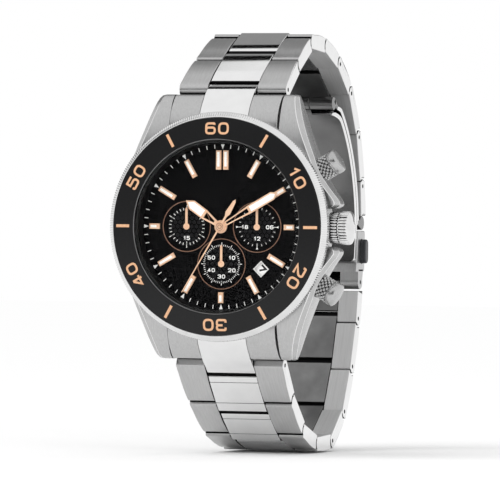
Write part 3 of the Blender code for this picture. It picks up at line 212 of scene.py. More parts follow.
def crystalGlass():
    # mineral crystal, ground flat and polished: nearly invisible, with a weak reflection that grows at the edge
    material, shader = newMaterial("mineralCrystal", {"Base Color": hexColour("#f2f6f7"), "Metallic": 1.0,
                                                      "Roughness": 0.03})
    facing = addNode(material, "ShaderNodeFresnel", {"IOR": 1.2})
    place = addNode(material, "ShaderNodeTexCoord")
    haze = addNode(material, "ShaderNodeTexNoise", {"Scale": 1 / (6 * mm), "Detail": 2.0},
                   {"Vector": place.outputs["Object"]})
    rough = addNode(material, "ShaderNodeMapRange", {"To Min": 0.02, "To Max": 0.05}, {"Value": haze.outputs["Fac"]})
    connect(material, rough.outputs["Result"], shader.inputs["Roughness"])
    # only outer faces reflect, so the wall of the disc mirrors nothing inwards
    side = addNode(material, "ShaderNodeNewGeometry")
    outer = addNode(material, "ShaderNodeMath", {"operation": "LESS_THAN"}, {0: side.outputs["Backfacing"]})
    alpha = addNode(material, "ShaderNodeMath", {"operation": "MULTIPLY"},
                    {0: facing.outputs["Fac"], 1: outer.outputs["Value"]})
    connect(material, alpha.outputs["Value"], shader.inputs["Alpha"])
    return material


crystalClear = crystalGlass()
print("materials made")


# shapes: a shape is (points, faces, tags), in mm, with one material number for each face

def polar(radius, degrees):
    turn = math.radians(degrees)
    return radius * math.cos(turn), radius * math.sin(turn)


def arc(centre, radius, start, end, steps):
    spots = [polar(radius, start + (end - start) * i / steps) for i in range(steps + 1)]
    return [(centre[0] + x, centre[1] + y) for x, y in spots]


def circle(radius, flats, centre=(0, 0)):
    return arc(centre, radius, 0, 360 * (flats - 1) / flats, flats - 1)


def box(left, right, low, high):
    return [(left, low), (right, low), (right, high), (left, high)]


def turnedOutline(outline, degrees, shift=(0, 0)):
    c, s = math.cos(math.radians(degrees)), math.sin(math.radians(degrees))
    return [(shift[0] + x * c - y * s, shift[1] + x * s + y * c) for x, y in outline]


def counterClockwise(outline):
    area = sum(a[0] * b[1] - b[0] * a[1] for a, b in zip(outline, outline[1:] + outline[:1]))
    return list(outline) if area > 0 else list(reversed(outline))


def mitreStep(before, here, after, distance, limit):
    # how far the corner moves for both of its edges to move left by distance
    one = Vector((here[0] - before[0], here[1] - before[1]))
    two = Vector((after[0] - here[0], after[1] - here[1]))
    one = (one if one.length > 1e-9 else two).normalized()
    two = (two if two.length > 1e-9 else one).normalized()
    left = Vector((-one.y, one.x))
    mitre = Vector((-one.y - two.y, one.x + two.x))
    mitre = (mitre if mitre.length > 1e-6 else left).normalized()
    reach = distance / max(limit, mitre.dot(left))
    return mitre.x * reach, mitre.y * reach


def inset(outline, distance):
    # for an outline that runs counter-clockwise
    moved = []
    for i, here in enumerate(outline):
        dx, dy = mitreStep(outline[i - 1], here, outline[(i + 1) % len(outline)], distance, 0.35)
        moved.append((here[0] + dx, here[1] + dy))
    return moved


def ringFaces(low, high):
    # four-cornered faces between two closed rings of point numbers
    return [(a, b, d, c) for a, b, c, d in zip(low, low[1:] + low[:1], high, high[1:] + high[:1])]


def bevelledPrism(outline, low, high, bevel=0.0, holes=(), steps=3, capTag=0, sideTag=0, roundLow=True, holeTag=0):
    # sideTag is a number, or a function of the middle of an edge
    outline = counterClockwise(outline)
    ends = outline[1:] + outline[:1]
    sideTags = [sideTag((a[0] + b[0]) / 2, (a[1] + b[1]) / 2) if callable(sideTag) else sideTag
                for a, b in zip(outline, ends)]
    turns = [math.radians(90 * i / steps) for i in range(steps + 1)]
    levels = [(low, 0.0)]
    if bevel and roundLow:
        levels = [(low + bevel * (1 - math.cos(turn)), bevel * (1 - math.sin(turn))) for turn in turns]
    if bevel:
        levels += [(high - bevel * (1 - math.sin(turn)), bevel * (1 - math.cos(turn))) for turn in turns]
    else:
        levels.append((high, 0.0))
    points, faces, tags, rings = [], [], [], []
    for height, inwards in levels:
        rings.append(list(range(len(points), len(points) + len(outline))))
        loop = inset(outline, inwards) if inwards > 1e-9 else outline
        points += [(x, y, height) for x, y in loop]
    for below, above in zip(rings, rings[1:]):
        faces += ringFaces(below, above)
        tags += sideTags
    lowLoops, highLoops = [rings[0]], [rings[-1]]
    for hole in holes:
        first, size = len(points), len(hole)
        points += [(x, y, height) for height in (low, high) for x, y in hole]
        lowLoops.append(list(range(first, first + size)))
        highLoops.append(list(range(first + size, first + 2 * size)))
        faces += ringFaces(lowLoops[-1], highLoops[-1])
        tags += [holeTag] * size
    for loops in (lowLoops, highLoops):
        index = sum(loops, [])
        caps = [range(len(index))]
        if holes:
            caps = tessellate_polygon([[Vector((*points[i][:2], 0)) for i in loop] for loop in loops])
        faces += [tuple(index[i] for i in cap) for cap in caps]
        tags += [capTag] * len(caps)
    return points, faces, tags


def lathe(profile, flats, tags=None, teeth=None):
    # profile is (radius, height) points round +Z; teeth is (first, last, count, depth) for a toothed band
    points, faces, marks, rings = [], [], [], []
    for number, (radius, height) in enumerate(profile):
        first = len(points)
        if radius < 1e-6:
            rings.append([first] * flats)
            points.append((0, 0, height))
            continue
        rings.append(list(range(first, first + flats)))
        for i in range(flats):
            reach = radius
            if teeth and teeth[0] <= number <= teeth[1]:
                wave = 0.5 + 0.5 * math.cos(2 * math.pi * teeth[2] * i / flats)
                reach -= teeth[3] * (1 - wave)
            points.append((*polar(reach, 360 * i / flats), height))
    pairs = list(zip(rings, rings[1:]))
    if profile[0][0] > 1e-6 and profile[-1][0] > 1e-6:
        pairs.append((rings[-1], rings[0]))
    for number, (low, high) in enumerate(pairs):
        made = [tuple(dict.fromkeys(face)) for face in ringFaces(low, high)]
        made = [face for face in made if len(face) > 2]
        faces += made
        marks += [tags[number] if tags else 0] * len(made)
    return points, faces, marks


def loft(sections, tags):
    # closed cross-sections with the same number of points, capped at both ends
    points = [tuple(p) for section in sections for p in section]
    count = len(sections[0])
    rings = [list(range(k * count, (k + 1) * count)) for k in range(len(sections))]
    faces, marks = [], []
    for low, high in zip(rings, rings[1:]):
        faces += ringFaces(low, high)
        marks += tags
    return points, faces + [tuple(rings[0]), tuple(rings[-1])], marks + [0, 0]


def merged(*shapes):
    points, faces, tags = [], [], []
    for shapePoints, shapeFaces, shapeTags in shapes:
        base = len(points)
        points += list(shapePoints)
        faces += [tuple(i + base for i in face) for face in shapeFaces]
        tags += list(shapeTags)
    return points, faces, tags


def placed(shape, matrix):
    points, faces, tags = shape
    return [tuple(matrix @ Vector(p)) for p in points], faces, tags


def shifted(shape, x, y):
    return placed(shape, Matrix.Translation((x, y, 0)))


def clockwise(shape, degrees, shift=(0, 0)):
    spin = Matrix.Translation((*shift, 0)) @ Matrix.Rotation(math.radians(-degrees), 4, "Z")
    return placed(shape, spin)


def sidePlate(outline, low, high, bevel=0.0, holes=(), **more):
    # a plate drawn in the side view, from low to high across the bracelet
    return placed(bevelledPrism(outline, low, high, bevel, holes, **more), toSide)


def sidePair(outline, inner, outer, bevel=0.0, holes=(), **more):
    # the same plate on the right and on the left
    return [sidePlate(outline, *sorted((side * inner, side * outer)), bevel, holes, **more) for side in (1, -1)]


def addPiece(name, shape, materials, body, slot, matrix=None, nodes=(), sharp=32, local=False):
    # local keeps the matrix on the object, so that its grain turns with it
    points, faces, tags = shape
    work = bmesh.new()
    if matrix is not None and not local:
        points = [matrix @ Vector(p) for p in points]
    corners = [work.verts.new(Vector(p) * mm) for p in points]
    for face, tag in zip(faces, tags):
        try:
            made = work.faces.new([corners[i] for i in face])
        except ValueError:
            continue
        made.material_index = tag
    bmesh.ops.recalc_face_normals(work, faces=work.faces)
    data = bpy.data.meshes.new(name)
    work.to_mesh(data)
    work.free()
    data.shade_smooth()
    data.set_sharp_from_angle(angle=math.radians(sharp))
    for material in materials:
        data.materials.append(material)
    piece = bpy.data.objects.new(name, data)
    bpy.context.scene.collection.objects.link(piece)
    weighted = piece.modifiers.new("flatFaces", "WEIGHTED_NORMAL")
    weighted.keep_sharp = True
    if matrix is not None and local:
        place = matrix.copy()
        place.translation = matrix.translation * mm
        piece.matrix_world = place
    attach(piece, body)
    if nodes:
        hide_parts(*nodes)
    return piece


# figures: each is a list of (closed, corner points) strokes in a box from 0 to 1, and a third 0 keeps a corner sharp

figureStrokes = {
    "0": [(True, [(0, 0), (1, 0), (1, 1), (0, 1)])],
    "1": [(False, [(0, 0.68), (0.62, 1, 0), (0.62, 0)])],
    "2": [(False, [(0, 0.74), (0, 1), (1, 1), (1, 0.58), (0, 0.02, 0), (1, 0)])],
    "3": [(False, [(0, 0.74), (0, 1), (1, 1), (1, 0.52), (0.35, 0.52)]),
          (False, [(0.6, 0.52), (1, 0.52), (1, 0), (0, 0), (0, 0.26)])],
    "4": [(False, [(0.66, 1), (0, 0.26, 0), (1.05, 0.26)]), (False, [(0.7, 1.03), (0.7, 0)])],
    "5": [(False, [(0.96, 1), (0.04, 1, 0), (0.04, 0.58, 0), (1, 0.58), (1, 0), (0, 0), (0, 0.24)])],
    "6": [(True, [(0, 0), (1, 0), (1, 0.58), (0, 0.58)]), (False, [(0.94, 0.84), (0.94, 1), (0, 1), (0, 0.4)])],
    "7": [(False, [(0, 1), (1, 1, 0), (0.36, 0)])],
    "8": [(True, [(0, 0), (1, 0), (1, 0.52), (0, 0.52)]), (True, [(0.06, 0.52), (0.94, 0.52), (0.94, 1), (0.06, 1)])],
    "9": [(True, [(0, 0.42), (1, 0.42), (1, 1), (0, 1)]), (False, [(0.06, 0.16), (0.06, 0), (1, 0), (1, 0.6)])],
}


def roundedPath(corners, closed, radius, steps=4):
    path = []
    count = len(corners)
    for i, corner in enumerate(corners):
        here = Vector(corner[:2])
        if len(corner) > 2 or not closed and i in (0, count - 1):
            path.append(here)
            continue
        before, after = Vector(corners[i - 1][:2]), Vector(corners[(i + 1) % count][:2])
        toBefore, toAfter = before - here, after - here
        cut = min(radius, toBefore.length * 0.48, toAfter.length * 0.48)
        start, end = here + toBefore.normalized() * cut, here + toAfter.normalized() * cut
        for k in range(steps + 1):
            t = k / steps
            path.append(start * (1 - t) ** 2 + here * 2 * t * (1 - t) + end * t * t)
    return path


def strokeShape(path, closed, width, low, high):
    left, right = [], []
    count = len(path)
    for i, here in enumerate(path):
        before = path[i - 1] if closed or i else here
        after = path[(i + 1) % count] if closed or i < count - 1 else here
        dx, dy = mitreStep(before, here, after, width / 2, 0.5)
        left.append((here.x + dx, here.y + dy))
        right.append((here.x - dx, here.y - dy))
    points = [(x, y, height) for side in (left, right) for height in (low, high) for x, y in side]
    a, b, c, d = 0, count, 2 * count, 3 * count  # left low, left high, right low, right high
    faces = []
    for i in range(count if closed else count - 1):
        j = (i + 1) % count
        faces += [(one + i, one + j, two + j, two + i) for one, two in ((a, b), (c, d), (a, c), (b, d))]
    if not closed:
        faces += [(a + i, b + i, d + i, c + i) for i in (0, count - 1)]
    return points, faces, [0] * len(faces)


def figures(text, height, width, stroke, gap, low=0.0, high=0.03, corner=0.3):
    # the text's middle is at the origin and its top is towards +y
    shapes = []
    widths = [width * (0.72 if letter == "1" else 1.0) for letter in text]
    x = -(sum(widths) + gap * (len(text) - 1)) / 2
    for letter, size in zip(text, widths):
        for number, (closed, corners) in enumerate(figureStrokes[letter]):
            scaled = [(x + stroke / 2 + px * (size - stroke), -height / 2 + stroke / 2 + py * (height - stroke), *sharp)
                      for px, py, *sharp in corners]
            lift = 0.003 * number
            shapes.append(strokeShape(roundedPath(scaled, closed, corner * size), closed, stroke, low, high + lift))
        x += size + gap
    return merged(*shapes)


# bezel

bezel = {"radius": 21.95, "insertRadius": 20.8, "insertBore": 16.6, "insertOuterTop": 10.66, "insertInnerTop": 11.0,
         "teeth": 300, "toothDepth": 0.16, "figureRadius": 18.72, "figureHeight": 2.32, "figureWidth": 2.15,
         "figureStroke": 0.42, "figureGap": 0.45, "barWidth": 0.56, "barInner": 17.5, "barOuter": 20.2,
         "printHeight": 0.03}


def insertHeight(radius):
    slope = (bezel["insertOuterTop"] - bezel["insertInnerTop"]) / (bezel["insertRadius"] - bezel["insertBore"])
    return bezel["insertInnerTop"] + slope * (radius - bezel["insertBore"])


def onInsert(shape, degrees):
    # lays a flat print on the sloped insert, turned clockwise from 12 o'clock
    points, faces, tags = clockwise(shape, degrees)
    return [(x, y, insertHeight(math.hypot(x, y)) + z) for x, y, z in points], faces, tags


def makeBezel():
    r, teeth = bezel["radius"], bezel["teeth"]
    rim = [(18.32, 8.1), (r - 0.35, 8.1), (r - 0.12, 8.2), (r, 8.35), (r, 9.45), (r - 0.1, 9.6), (r - 0.18, 9.68),
           (r - 0.42, 9.92), (r - 0.66, 10.16), (r - 0.86, 10.36), (20.97, 10.48), (20.9, 10.5), (20.88, 10.5),
           (20.84, 10.44), (20.84, 10.12), (16.9, 10.12), (16.9, 9.75), (18.32, 9.75)]
    addPiece("bezelRim", lathe(rim, teeth * 3, teeth=(2, 8, teeth, bezel["toothDepth"])), [bezelSteel], "bezel",
             "polished_steel", toFront, ["bezel_ring"])
    outer, inner = bezel["insertRadius"], bezel["insertBore"]
    face = [(inner, 10.15), (outer, 10.15), (outer, 10.55), (outer - 0.06, insertHeight(outer - 0.06)),
            (inner + 0.3, insertHeight(inner + 0.3)), (inner + 0.12, 10.95), (inner, 10.84)]
    # the insert's inner chamfer takes the dark grey steel, a painted shade
    addPiece("bezelInsert", lathe(face, 192, [0, 0, 0, 0, 0, 1, 0]), [anodisedBlack, shadeSteel], "bezel",
             "black_lacquer", toFront, ["bezel_insert"])
    high = bezel["printHeight"]
    prints = []
    for position in range(0, 60, 5):
        if position % 10:
            bar = bevelledPrism(box(-bezel["barWidth"] / 2, bezel["barWidth"] / 2, bezel["barInner"],
                                    bezel["barOuter"]), -0.02, high)
            prints.append(onInsert(bar, position * 6))
            continue
        flat = figures(str(position or 60), bezel["figureHeight"], bezel["figureWidth"], bezel["figureStroke"],
                       bezel["figureGap"], -0.02, high, 0.34)
        prints.append(onInsert(shifted(flat, 0, bezel["figureRadius"]), position * 6))
    addPiece("bezelFigures", merged(*prints), [copperPrint], "bezel", "rose_gold", toFront)


makeBezel()
print("bezel made")


# dial

dial = {"radius": 16.6, "top": 7.3, "bottom": 6.9, "centreHole": 1.17, "subdialDistance": 7.1, "subdialRadius": 4.75,
        "subdialFloor": 7.16, "subdialHole": 0.45, "hexSpacing": 0.95, "hexCell": 0.42, "hexRadius": 3.7,
        "hubClearance": 0.7, "indexOuter": 14.6, "indexLong": 3.7, "indexShort": 2.1, "indexWidth": 1.05,
        "indexHeight": 0.4, "doubleShift": 0.72, "lumeEdge": 0.28, "tickOuter": 15.75, "tickLength": 0.75,
        "tickWidth": 0.14, "pointerLength": 0.95, "pointerWidth": 0.72, "ink": 0.02, "subdialInk": 0.06,
        "figureSize": 0.76, "dateDistance": 11.3, "dateSide": 2.1, "dateFrame": (1.0, 1.12), "dateAngle": 135.0,
        "dateHeight": 6.75}
subdialPlaces = {"day": (dial["subdialDistance"], 0.0), "seconds": (0.0, -dial["subdialDistance"]),
                 "minutes": (-dial["subdialDistance"], 0.0)}


def hexField(centre, low, high):
    # cells in rows, except under the hand's hub; a row is 0.866 of the spacing above the last
    spacing, radius = dial["hexSpacing"], dial["hexRadius"]
    rise = spacing * 0.866
    rows = int(radius / rise) + 1
    shapes = []
    for row in range(-rows, rows + 1):
        for column in range(-rows - 4, rows + 5):
            x, y = (column + 0.5 * (row % 2)) * spacing, row * rise
            if dial["hubClearance"] < math.hypot(x, y) < radius:
                cell = arc((centre[0] + x, centre[1] + y), spacing * dial["hexCell"], 30, 330, 5)
                shapes.append(bevelledPrism(cell, low, high))
    return merged(*shapes)


def makeDial():
    top, floor = dial["top"], dial["subdialFloor"]
    places = subdialPlaces.values()
    dateSpot, dateTurn = polar(dial["dateDistance"], 90 - dial["dateAngle"]), 90 - dial["dateAngle"]

    def dateSquare(half):
        return turnedOutline(box(-half, half, -half, half), dateTurn, dateSpot)

    def add(name, shape, material, slot="black_lacquer", **more):
        addPiece(name, shape, [material], "case", slot, toFront, **more)

    openings = [dateSquare(dial["dateSide"] / 2), circle(dial["centreHole"], 24)]
    holes = [circle(dial["subdialRadius"], 64, place) for place in places] + openings
    add("dialPlate", bevelledPrism(circle(dial["radius"], 144), floor - 0.1, top, 0, holes), dialLacquer,
        nodes=["dial"], sharp=30)
    holes = openings + [circle(dial["subdialHole"], 12, place) for place in places]
    add("subdialFloor", bevelledPrism(circle(dial["radius"], 96), dial["bottom"], floor, 0, holes), subdialBlack,
        sharp=30)
    add("subdialHexagons", merged(*[hexField(place, floor - 0.02, floor + 0.05) for place in places]), hexagonBlack)
    ring = lathe(box(dial["subdialRadius"] - 0.03, dial["subdialRadius"] + 0.11, floor, top + 0.04), 96)
    add("subdialRings", merged(*[shifted(ring, *place) for place in places]), rimGold, "rose_gold")
    inner, outer = map(dateSquare, dial["dateFrame"])
    add("dateFrame", bevelledPrism(outer, floor, top + 0.06, 0, [inner]), whiteInk, "white_plastic")
    marks, outer = [], dial["tickOuter"]
    for minute in range(60):
        half, pointer = dial["tickWidth"] / 2, dial["pointerWidth"] / 2
        tick = [(0, outer - dial["pointerLength"]), (pointer, outer), (-pointer, outer)]
        if minute % 5:
            tick = box(-half, half, outer - dial["tickLength"], outer)
        marks.append(clockwise(bevelledPrism(tick, top - 0.02, top + dial["ink"]), minute * 6))
    add("minuteTrack", merged(*marks), whiteInk, "white_plastic")
    bars, lumes = [], []
    half, outer, edge = dial["indexWidth"] / 2, dial["indexOuter"], dial["lumeEdge"]
    for hour in range(12):
        inner = outer - dial["indexShort" if hour in (3, 6, 9) else "indexLong"]
        for shift in (0,) if hour else (-dial["doubleShift"], dial["doubleShift"]):
            left, right = shift - half, shift + half
            bar = bevelledPrism(box(left, right, inner, outer), top, top + dial["indexHeight"], 0.16, steps=2,
                                roundLow=False)
            lume = bevelledPrism(box(left + edge, right - edge, inner + 0.6, outer - 0.3), top + 0.1,
                                 top + dial["indexHeight"] + 0.03)
            bars.append(clockwise(bar, hour * 30))
            lumes.append(clockwise(lume, hour * 30))
    add("hourMarkers", merged(*bars), roseGold, "rose_gold")
    add("hourMarkerLume", merged(*lumes), lumePaint, "white_plastic")
    add("subdialPrint", merged(*subdialMarks(floor)), whiteInk, "white_plastic")


def subdialMarks(floor):
    prints, ink = [], floor + dial["subdialInk"]

    def numbers(place, rows):
        for text, degrees, distance in rows:
            size = dial["figureSize"]
            flat = figures(text, size, size * 0.88, 0.15, 0.15, floor, ink + 0.01)
            dx, dy = polar(distance, 90 - degrees)
            prints.append(shifted(flat, place[0] + dx, place[1] + dy))

    def track(place, count, longEvery, inner, outer, width):
        for i in range(count):
            start = inner + (0.15 if i % longEvery else -0.12)
            tick = bevelledPrism(box(-width / 2, width / 2, start, outer), floor, ink)
            prints.append(clockwise(tick, 360 * i / count, place))

    day, seconds, minutes = (subdialPlaces[word] for word in ("day", "seconds", "minutes"))
    numbers(day, (("06", 90, 2.5), ("12", 180, 2.2), ("18", 270, 2.5)))
    for degrees in (90, 180, 270):
        tip = bevelledPrism([(0, 3.75), (0.2, 4.25), (-0.2, 4.25)], floor, ink)
        prints.append(clockwise(tip, degrees, day))
    track(day, 24, 6, 3.25, 3.75, 0.09)
    numbers(seconds, [(str(number), number * 6, 2.4) for number in (10, 20, 30, 40, 50)])
    track(seconds, 60, 60, 3.25, 3.7, 0.1)
    track(seconds, 12, 1, 3.4, 4.1, 0.12)
    numbers(minutes, [("15", 180, 2.2)])
    track(minutes, 30, 30, 3.0, 3.6, 0.12)
    track(minutes, 6, 1, 3.0, 4.1, 0.12)
    return prints


makeDial()


def makeDateRing():
    # each number reads outwards along its radius, and the shown day is the seventh
    turn, low = 90 - dial["dateAngle"], dial["dateHeight"]
    place = Matrix.Translation((*polar(dial["dateDistance"], turn), 0)) @ Matrix.Rotation(math.radians(turn), 4, "Z")
    prints = []
    for day in range(1, 32):
        width, stroke = (1.5, 0.36) if day < 10 else (0.8, 0.3)
        flat = placed(figures(str(day), 1.45, width, stroke, 0.12, low, low + 0.02), place)
        prints.append(clockwise(flat, (day - 7) * 360 / 31))
    addPiece("dateNumbers", merged(*prints), [blackInk], "date_wheel", "black_lacquer", toFront)


makeDateRing()
print("dial made")


# hands

hands = {"hourHeight": 7.85, "minuteHeight": 8.15, "chronoHeight": 8.45, "smallHeight": 7.42, "thickness": 0.14,
         "hourAngle": 305.0, "minuteAngle": 60.0, "chronoAngle": 211.0, "edge": 0.38, "lumeRim": 0.27}


def openHand(word, length, half, waist, windowEnd, lumeStart, hub):
    # a frame with an open inner half and a filled, pointed outer half
    low, degrees, node = hands[word + "Height"], hands[word + "Angle"], word + "_hand"
    high, shoulder = low + hands["thickness"], length - half * 1.5
    side = [(0.42, 0), (waist, windowEnd * 0.5), (half, windowEnd + 0.2), (half, shoulder)]
    outline = side + [(0, length)] + [(-x, y) for x, y in reversed(side)]
    inner = half - hands["edge"]
    window = [(-0.2, hub + 0.4), (0.2, hub + 0.4), (inner, windowEnd), (-inner, windowEnd)]
    plate = bevelledPrism(outline, low, high, 0.05, [window], 2)
    boss = lathe([(0, low - 0.03), (hub, low - 0.03), (hub, high + 0.04), (hub - 0.08, high + 0.1),
                  (0, high + 0.1)], 40)
    addPiece(word + "Hand", clockwise(merged(plate, boss), degrees), [roseGold], node, "rose_gold", toFront, [node])
    rim = hands["lumeRim"]
    fill = box(rim - half, half - rim, lumeStart, shoulder - 0.05)
    fill.insert(3, (0, length - rim * 2.1))
    lume = bevelledPrism(fill, low + 0.04, high + 0.03)
    addPiece(word + "HandLume", clockwise(lume, degrees), [lumePaint], node, "white_plastic", toFront)


def makeHands():
    openHand("hour", 8.7, 0.98, 0.62, 3.9, 4.4, 1.25)
    openHand("minute", 13.2, 0.8, 0.5, 6.4, 6.9, 0.98)
    low = hands["chronoHeight"]
    high, node = low + hands["thickness"], "chrono_seconds_hand"
    needle = [(-0.17, 0), (-0.07, 14.7), (0.07, 14.7), (0.17, 0), (0.22, -2.3), (0.52, -3.1), (0.3, -5.6), (0, -6.1),
              (-0.3, -5.6), (-0.52, -3.1), (-0.22, -2.3)]
    plate = bevelledPrism(needle, low, high, 0.03, steps=2)
    cap = lathe([(0, low - 0.02), (0.85, low - 0.02), (0.85, high + 0.02), (0.75, high + 0.12), (0.5, high + 0.12),
                 (0.46, high + 0.05), (0.3, high + 0.05), (0.26, high + 0.16), (0, high + 0.16)], 40)
    addPiece("chronoSecondsHand", clockwise(merged(plate, cap), hands["chronoAngle"]), [roseGold], node, "rose_gold",
             toFront, [node])
    rims = [lathe(box(r, r + 0.1, high, high + 0.14), 40) for r in (0.3, 0.62)]
    addPiece("hubRims", merged(*rims), [rimGold], node, "rose_gold", toFront)
    low = hands["smallHeight"]
    high = low + hands["thickness"]
    blade = bevelledPrism([(-0.24, -0.1), (0.24, -0.1), (0.24, 3.35), (0, 3.75), (-0.24, 3.35)], low, high, 0.03,
                          steps=2)
    cap = lathe([(0, low - 0.02), (0.62, low - 0.02), (0.62, high), (0.5, high + 0.08), (0.32, high + 0.08),
                 (0.28, high + 0.02), (0, high + 0.02)], 32)
    for node, place in (("day_counter_hand", "day"), ("small_seconds_hand", "seconds"),
                        ("minute_counter_hand", "minutes")):
        addPiece(place + "Hand", shifted(merged(blade, cap), *subdialPlaces[place]), [roseGold], node, "rose_gold",
                 toFront, [node])


makeHands()
print("hands made")


# case

case = {"radius": 20.6, "shoulder": 7.85, "bore": 17.8, "underside": 0.4, "lugUnderside": 0.35, "lugStart": 15.6,
        "lugInside": 11.1, "lugRoot": 14.0, "lugTip": 24.9, "tipSlope": 0.8, "guardStart": 10.5, "guardSlope": 0.25,
        "guardUnderside": 1.6, "bevelDrop": 0.75}
# z, outer edge of the top face, outer side, height of the top face
lugStations = [(25.38, 12.7, 13.3, 2.9), (25.2, 13.1, 13.8, 3.5), (24.6, 13.35, 14.15, 4.3), (23.8, 13.55, 14.45, 4.95),
               (22.6, 13.85, 14.85, 5.6), (21.1, 14.3, 15.35, 6.25), (19.2, 14.95, 16.0, 6.8), (17.3, 15.7, 16.7, 7.15),
               (15.4, 16.5, 17.45, 7.4), (13.5, 17.3, 18.2, 7.5), (11.6, 18.05, 18.9, 7.55)]
guardStations = [(10.4, 18.6, 19.45, 7.55), (9.4, 19.15, 20.05, 7.5), (8.4, 19.75, 20.7, 7.4), (7.4, 20.45, 21.4, 7.25),
                 (6.4, 21.2, 22.15, 7.05), (5.6, 21.8, 22.8, 6.9), (5.0, 22.15, 23.15, 6.8), (4.5, 22.2, 23.25, 6.7),
                 (4.1, 21.9, 23.0, 6.6), (3.8, 21.3, 22.4, 6.45), (3.62, 20.6, 21.7, 6.3)]
flankStations = [(10.0, 18.4, 19.3, 7.55), (8.4, 18.75, 19.65, 7.55), (6.0, 19.2, 20.15, 7.55),
                 (3.0, 19.55, 20.5, 7.55), (0.0, 19.65, 20.6, 7.55)]


def lugSection(z, topEdge, side, top, end, hand):
    inside = case["lugInside"] if z > case["lugStart"] else math.sqrt(max(0.0, case["bore"] ** 2 - z * z))
    low = case["lugUnderside" if z > case["lugRoot"] else "underside"]
    if hand > 0 and z < case["guardStart"]:  # the guards' underside rises towards the crown
        low = min(case["guardUnderside"], case["underside"] + (case["guardStart"] - z) * case["guardSlope"])
    low += max(0, z - case["lugTip"]) * case["tipSlope"]
    bevel = top - case["bevelDrop"]
    outline = [(inside, top), (topEdge - 0.1, top), (topEdge, top - 0.02), (topEdge + 0.12, top - 0.1),
               (side - 0.06, bevel + 0.08), (side, bevel), (side + 0.02, (top + low) / 2), (side - 0.35, low + 0.7),
               (side - 0.9, low + 0.15), (side - 1.3, low), (inside, low)]
    return [(hand * x, end * z, height) for x, height in outline]


def makeCase():
    # tags: 0 brushed, 1 polished on the edges of the bevel, 2 satin
    tags = [0, 0, 1, 2, 1, 2, 2, 2, 2, 0, 0]
    left = lugStations + flankStations
    shapes = [loft([lugSection(*s, end, 1) for s in lugStations + guardStations], tags) for end in (1, -1)]
    shapes.append(loft([lugSection(*s, 1, -1) for s in left] + [lugSection(*s, -1, -1) for s in reversed(left[:-1])],
                       tags))
    r, top = case["radius"], case["shoulder"]
    ring = [(17.45, 0.4), (18.9, 0.4), (19.6, 0.5), (20.2, 0.95), (20.55, 1.7), (r, 2.2), (r, 7.2), (20.45, 7.6),
            (20.1, top), (18.3, top), (18.3, 7.5), (17.45, 7.5)]
    shapes += [lathe(ring, 160), lathe(box(16.85, 18.2, 6.9, 9.6), 128)]
    addPiece("caseMiddle", merged(*shapes), [caseSteel, polishedSteel, satinSteel], "case", "brushed_steel", toFront,
             ["case_middle"], sharp=28)
    back = [(0, 0), (11.6, 0), (11.75, 0.12), (12.1, 0.12), (12.25, 0), (16.6, 0), (17.05, 0.12), (17.3, 0.4),
            (17.3, 0.9), (0, 0.9)]
    addPiece("caseBack", lathe(back, 128, [0, 1, 1, 1, 0, 1, 1, 0, 0]), [caseSteel, polishedSteel], "case",
             "brushed_steel", toFront, ["case_back"])
    key = bevelledPrism(box(14.0, 15.6, -1.0, 1.0), -0.02, 0.03)
    addPiece("caseBackKeySlots", merged(*[clockwise(key, 60 * i) for i in range(6)]), [coatedSteel], "case",
             "blackened_steel", toFront)


makeCase()


# end links, three bars across the lug gap

endLink = {"middle": 4.9, "reach": 10.82, "gap": 0.06, "bevel": 0.1, "hinge": (26.4, 0.5), "radius": 1.4,
           "facing": -35.0}


def makeEndLink(word, end):
    hinge, facing, r = endLink["hinge"], endLink["facing"], endLink["radius"]
    middle, bevel = endLink["middle"], endLink["bevel"]
    roof = [(18.6, 7.25), (19.6, 7.3), (21.1, 7.0), (22.3, 6.45), (23.3, 5.75), (24.3, 4.85)]
    floor = [(23.5, 0.5), (18.6, 0.7)]
    socket = arc(hinge, r + 0.28, facing + 175, facing + 230, 8)
    barrel = arc(hinge, r - 0.32, facing + 22, facing - 90, 10)
    nose = {"Upper": [(26.8, 1.9), (27.1, 1.35), (27.38, 0.72), (27.5, 0.34), (27.46, 0.12)],
            "Lower": [(26.95, 1.85), (27.45, 1.3), (27.85, 0.82), (28.02, 0.5), (27.98, 0.2)]}[word]
    tongue = roof + [(25.1, 4.15), (25.8, 3.4), (26.2, 2.88), (26.46, 2.53)] + nose + barrel + floor
    outer = roof + [(24.9, 4.2), (25.2, 3.75), (25.32, 3.45), (25.3, 3.2)] + socket + floor
    turn = toFront if end > 0 else Matrix.Rotation(math.radians(180), 4, "Y") @ toFront

    # the underside of the nose and the hollow round the pin are painted near black as shade
    def underNose(y, z):
        return 1 if y > 26.5 and z < 0.3 else 0

    def inHollow(y, z):
        return 1 if math.hypot(y - hinge[0], z - hinge[1]) < r + 0.32 and y < 26.6 and z < 3.3 else 0

    addPiece("endLinkMiddle" + word, sidePlate(tongue, -middle, middle, bevel, sideTag=underNose),
             [polishedSteel, seamShadeSteel], "case", "polished_steel", turn, ["end_link_" + word.lower()])
    sides = sidePair(outer, middle + endLink["gap"], endLink["reach"], bevel, sideTag=inHollow)
    addPiece("endLinkSides" + word, merged(*sides), [caseSteel, seamShadeSteel], "case", "brushed_steel", turn)


makeEndLink("Upper", 1)
makeEndLink("Lower", -1)
print("case made")


# crown and pushers

crown = {"radius": 3.2, "height": 4.5, "flutes": 32, "fluteDepth": 0.26}
pusher = {"radius": 2.35, "start": 21.75, "end": 26.1, "angle": 30.0, "knurlTurns": 14, "knurlRows": 3,
          "knurlDepth": 0.34, "rows": 40, "capLength": 1.75}


def outwards(degrees):
    lift = Matrix.Translation((0, -crown["height"], 0))
    return lift @ Matrix.Rotation(math.radians(90 - degrees), 4, "Y")


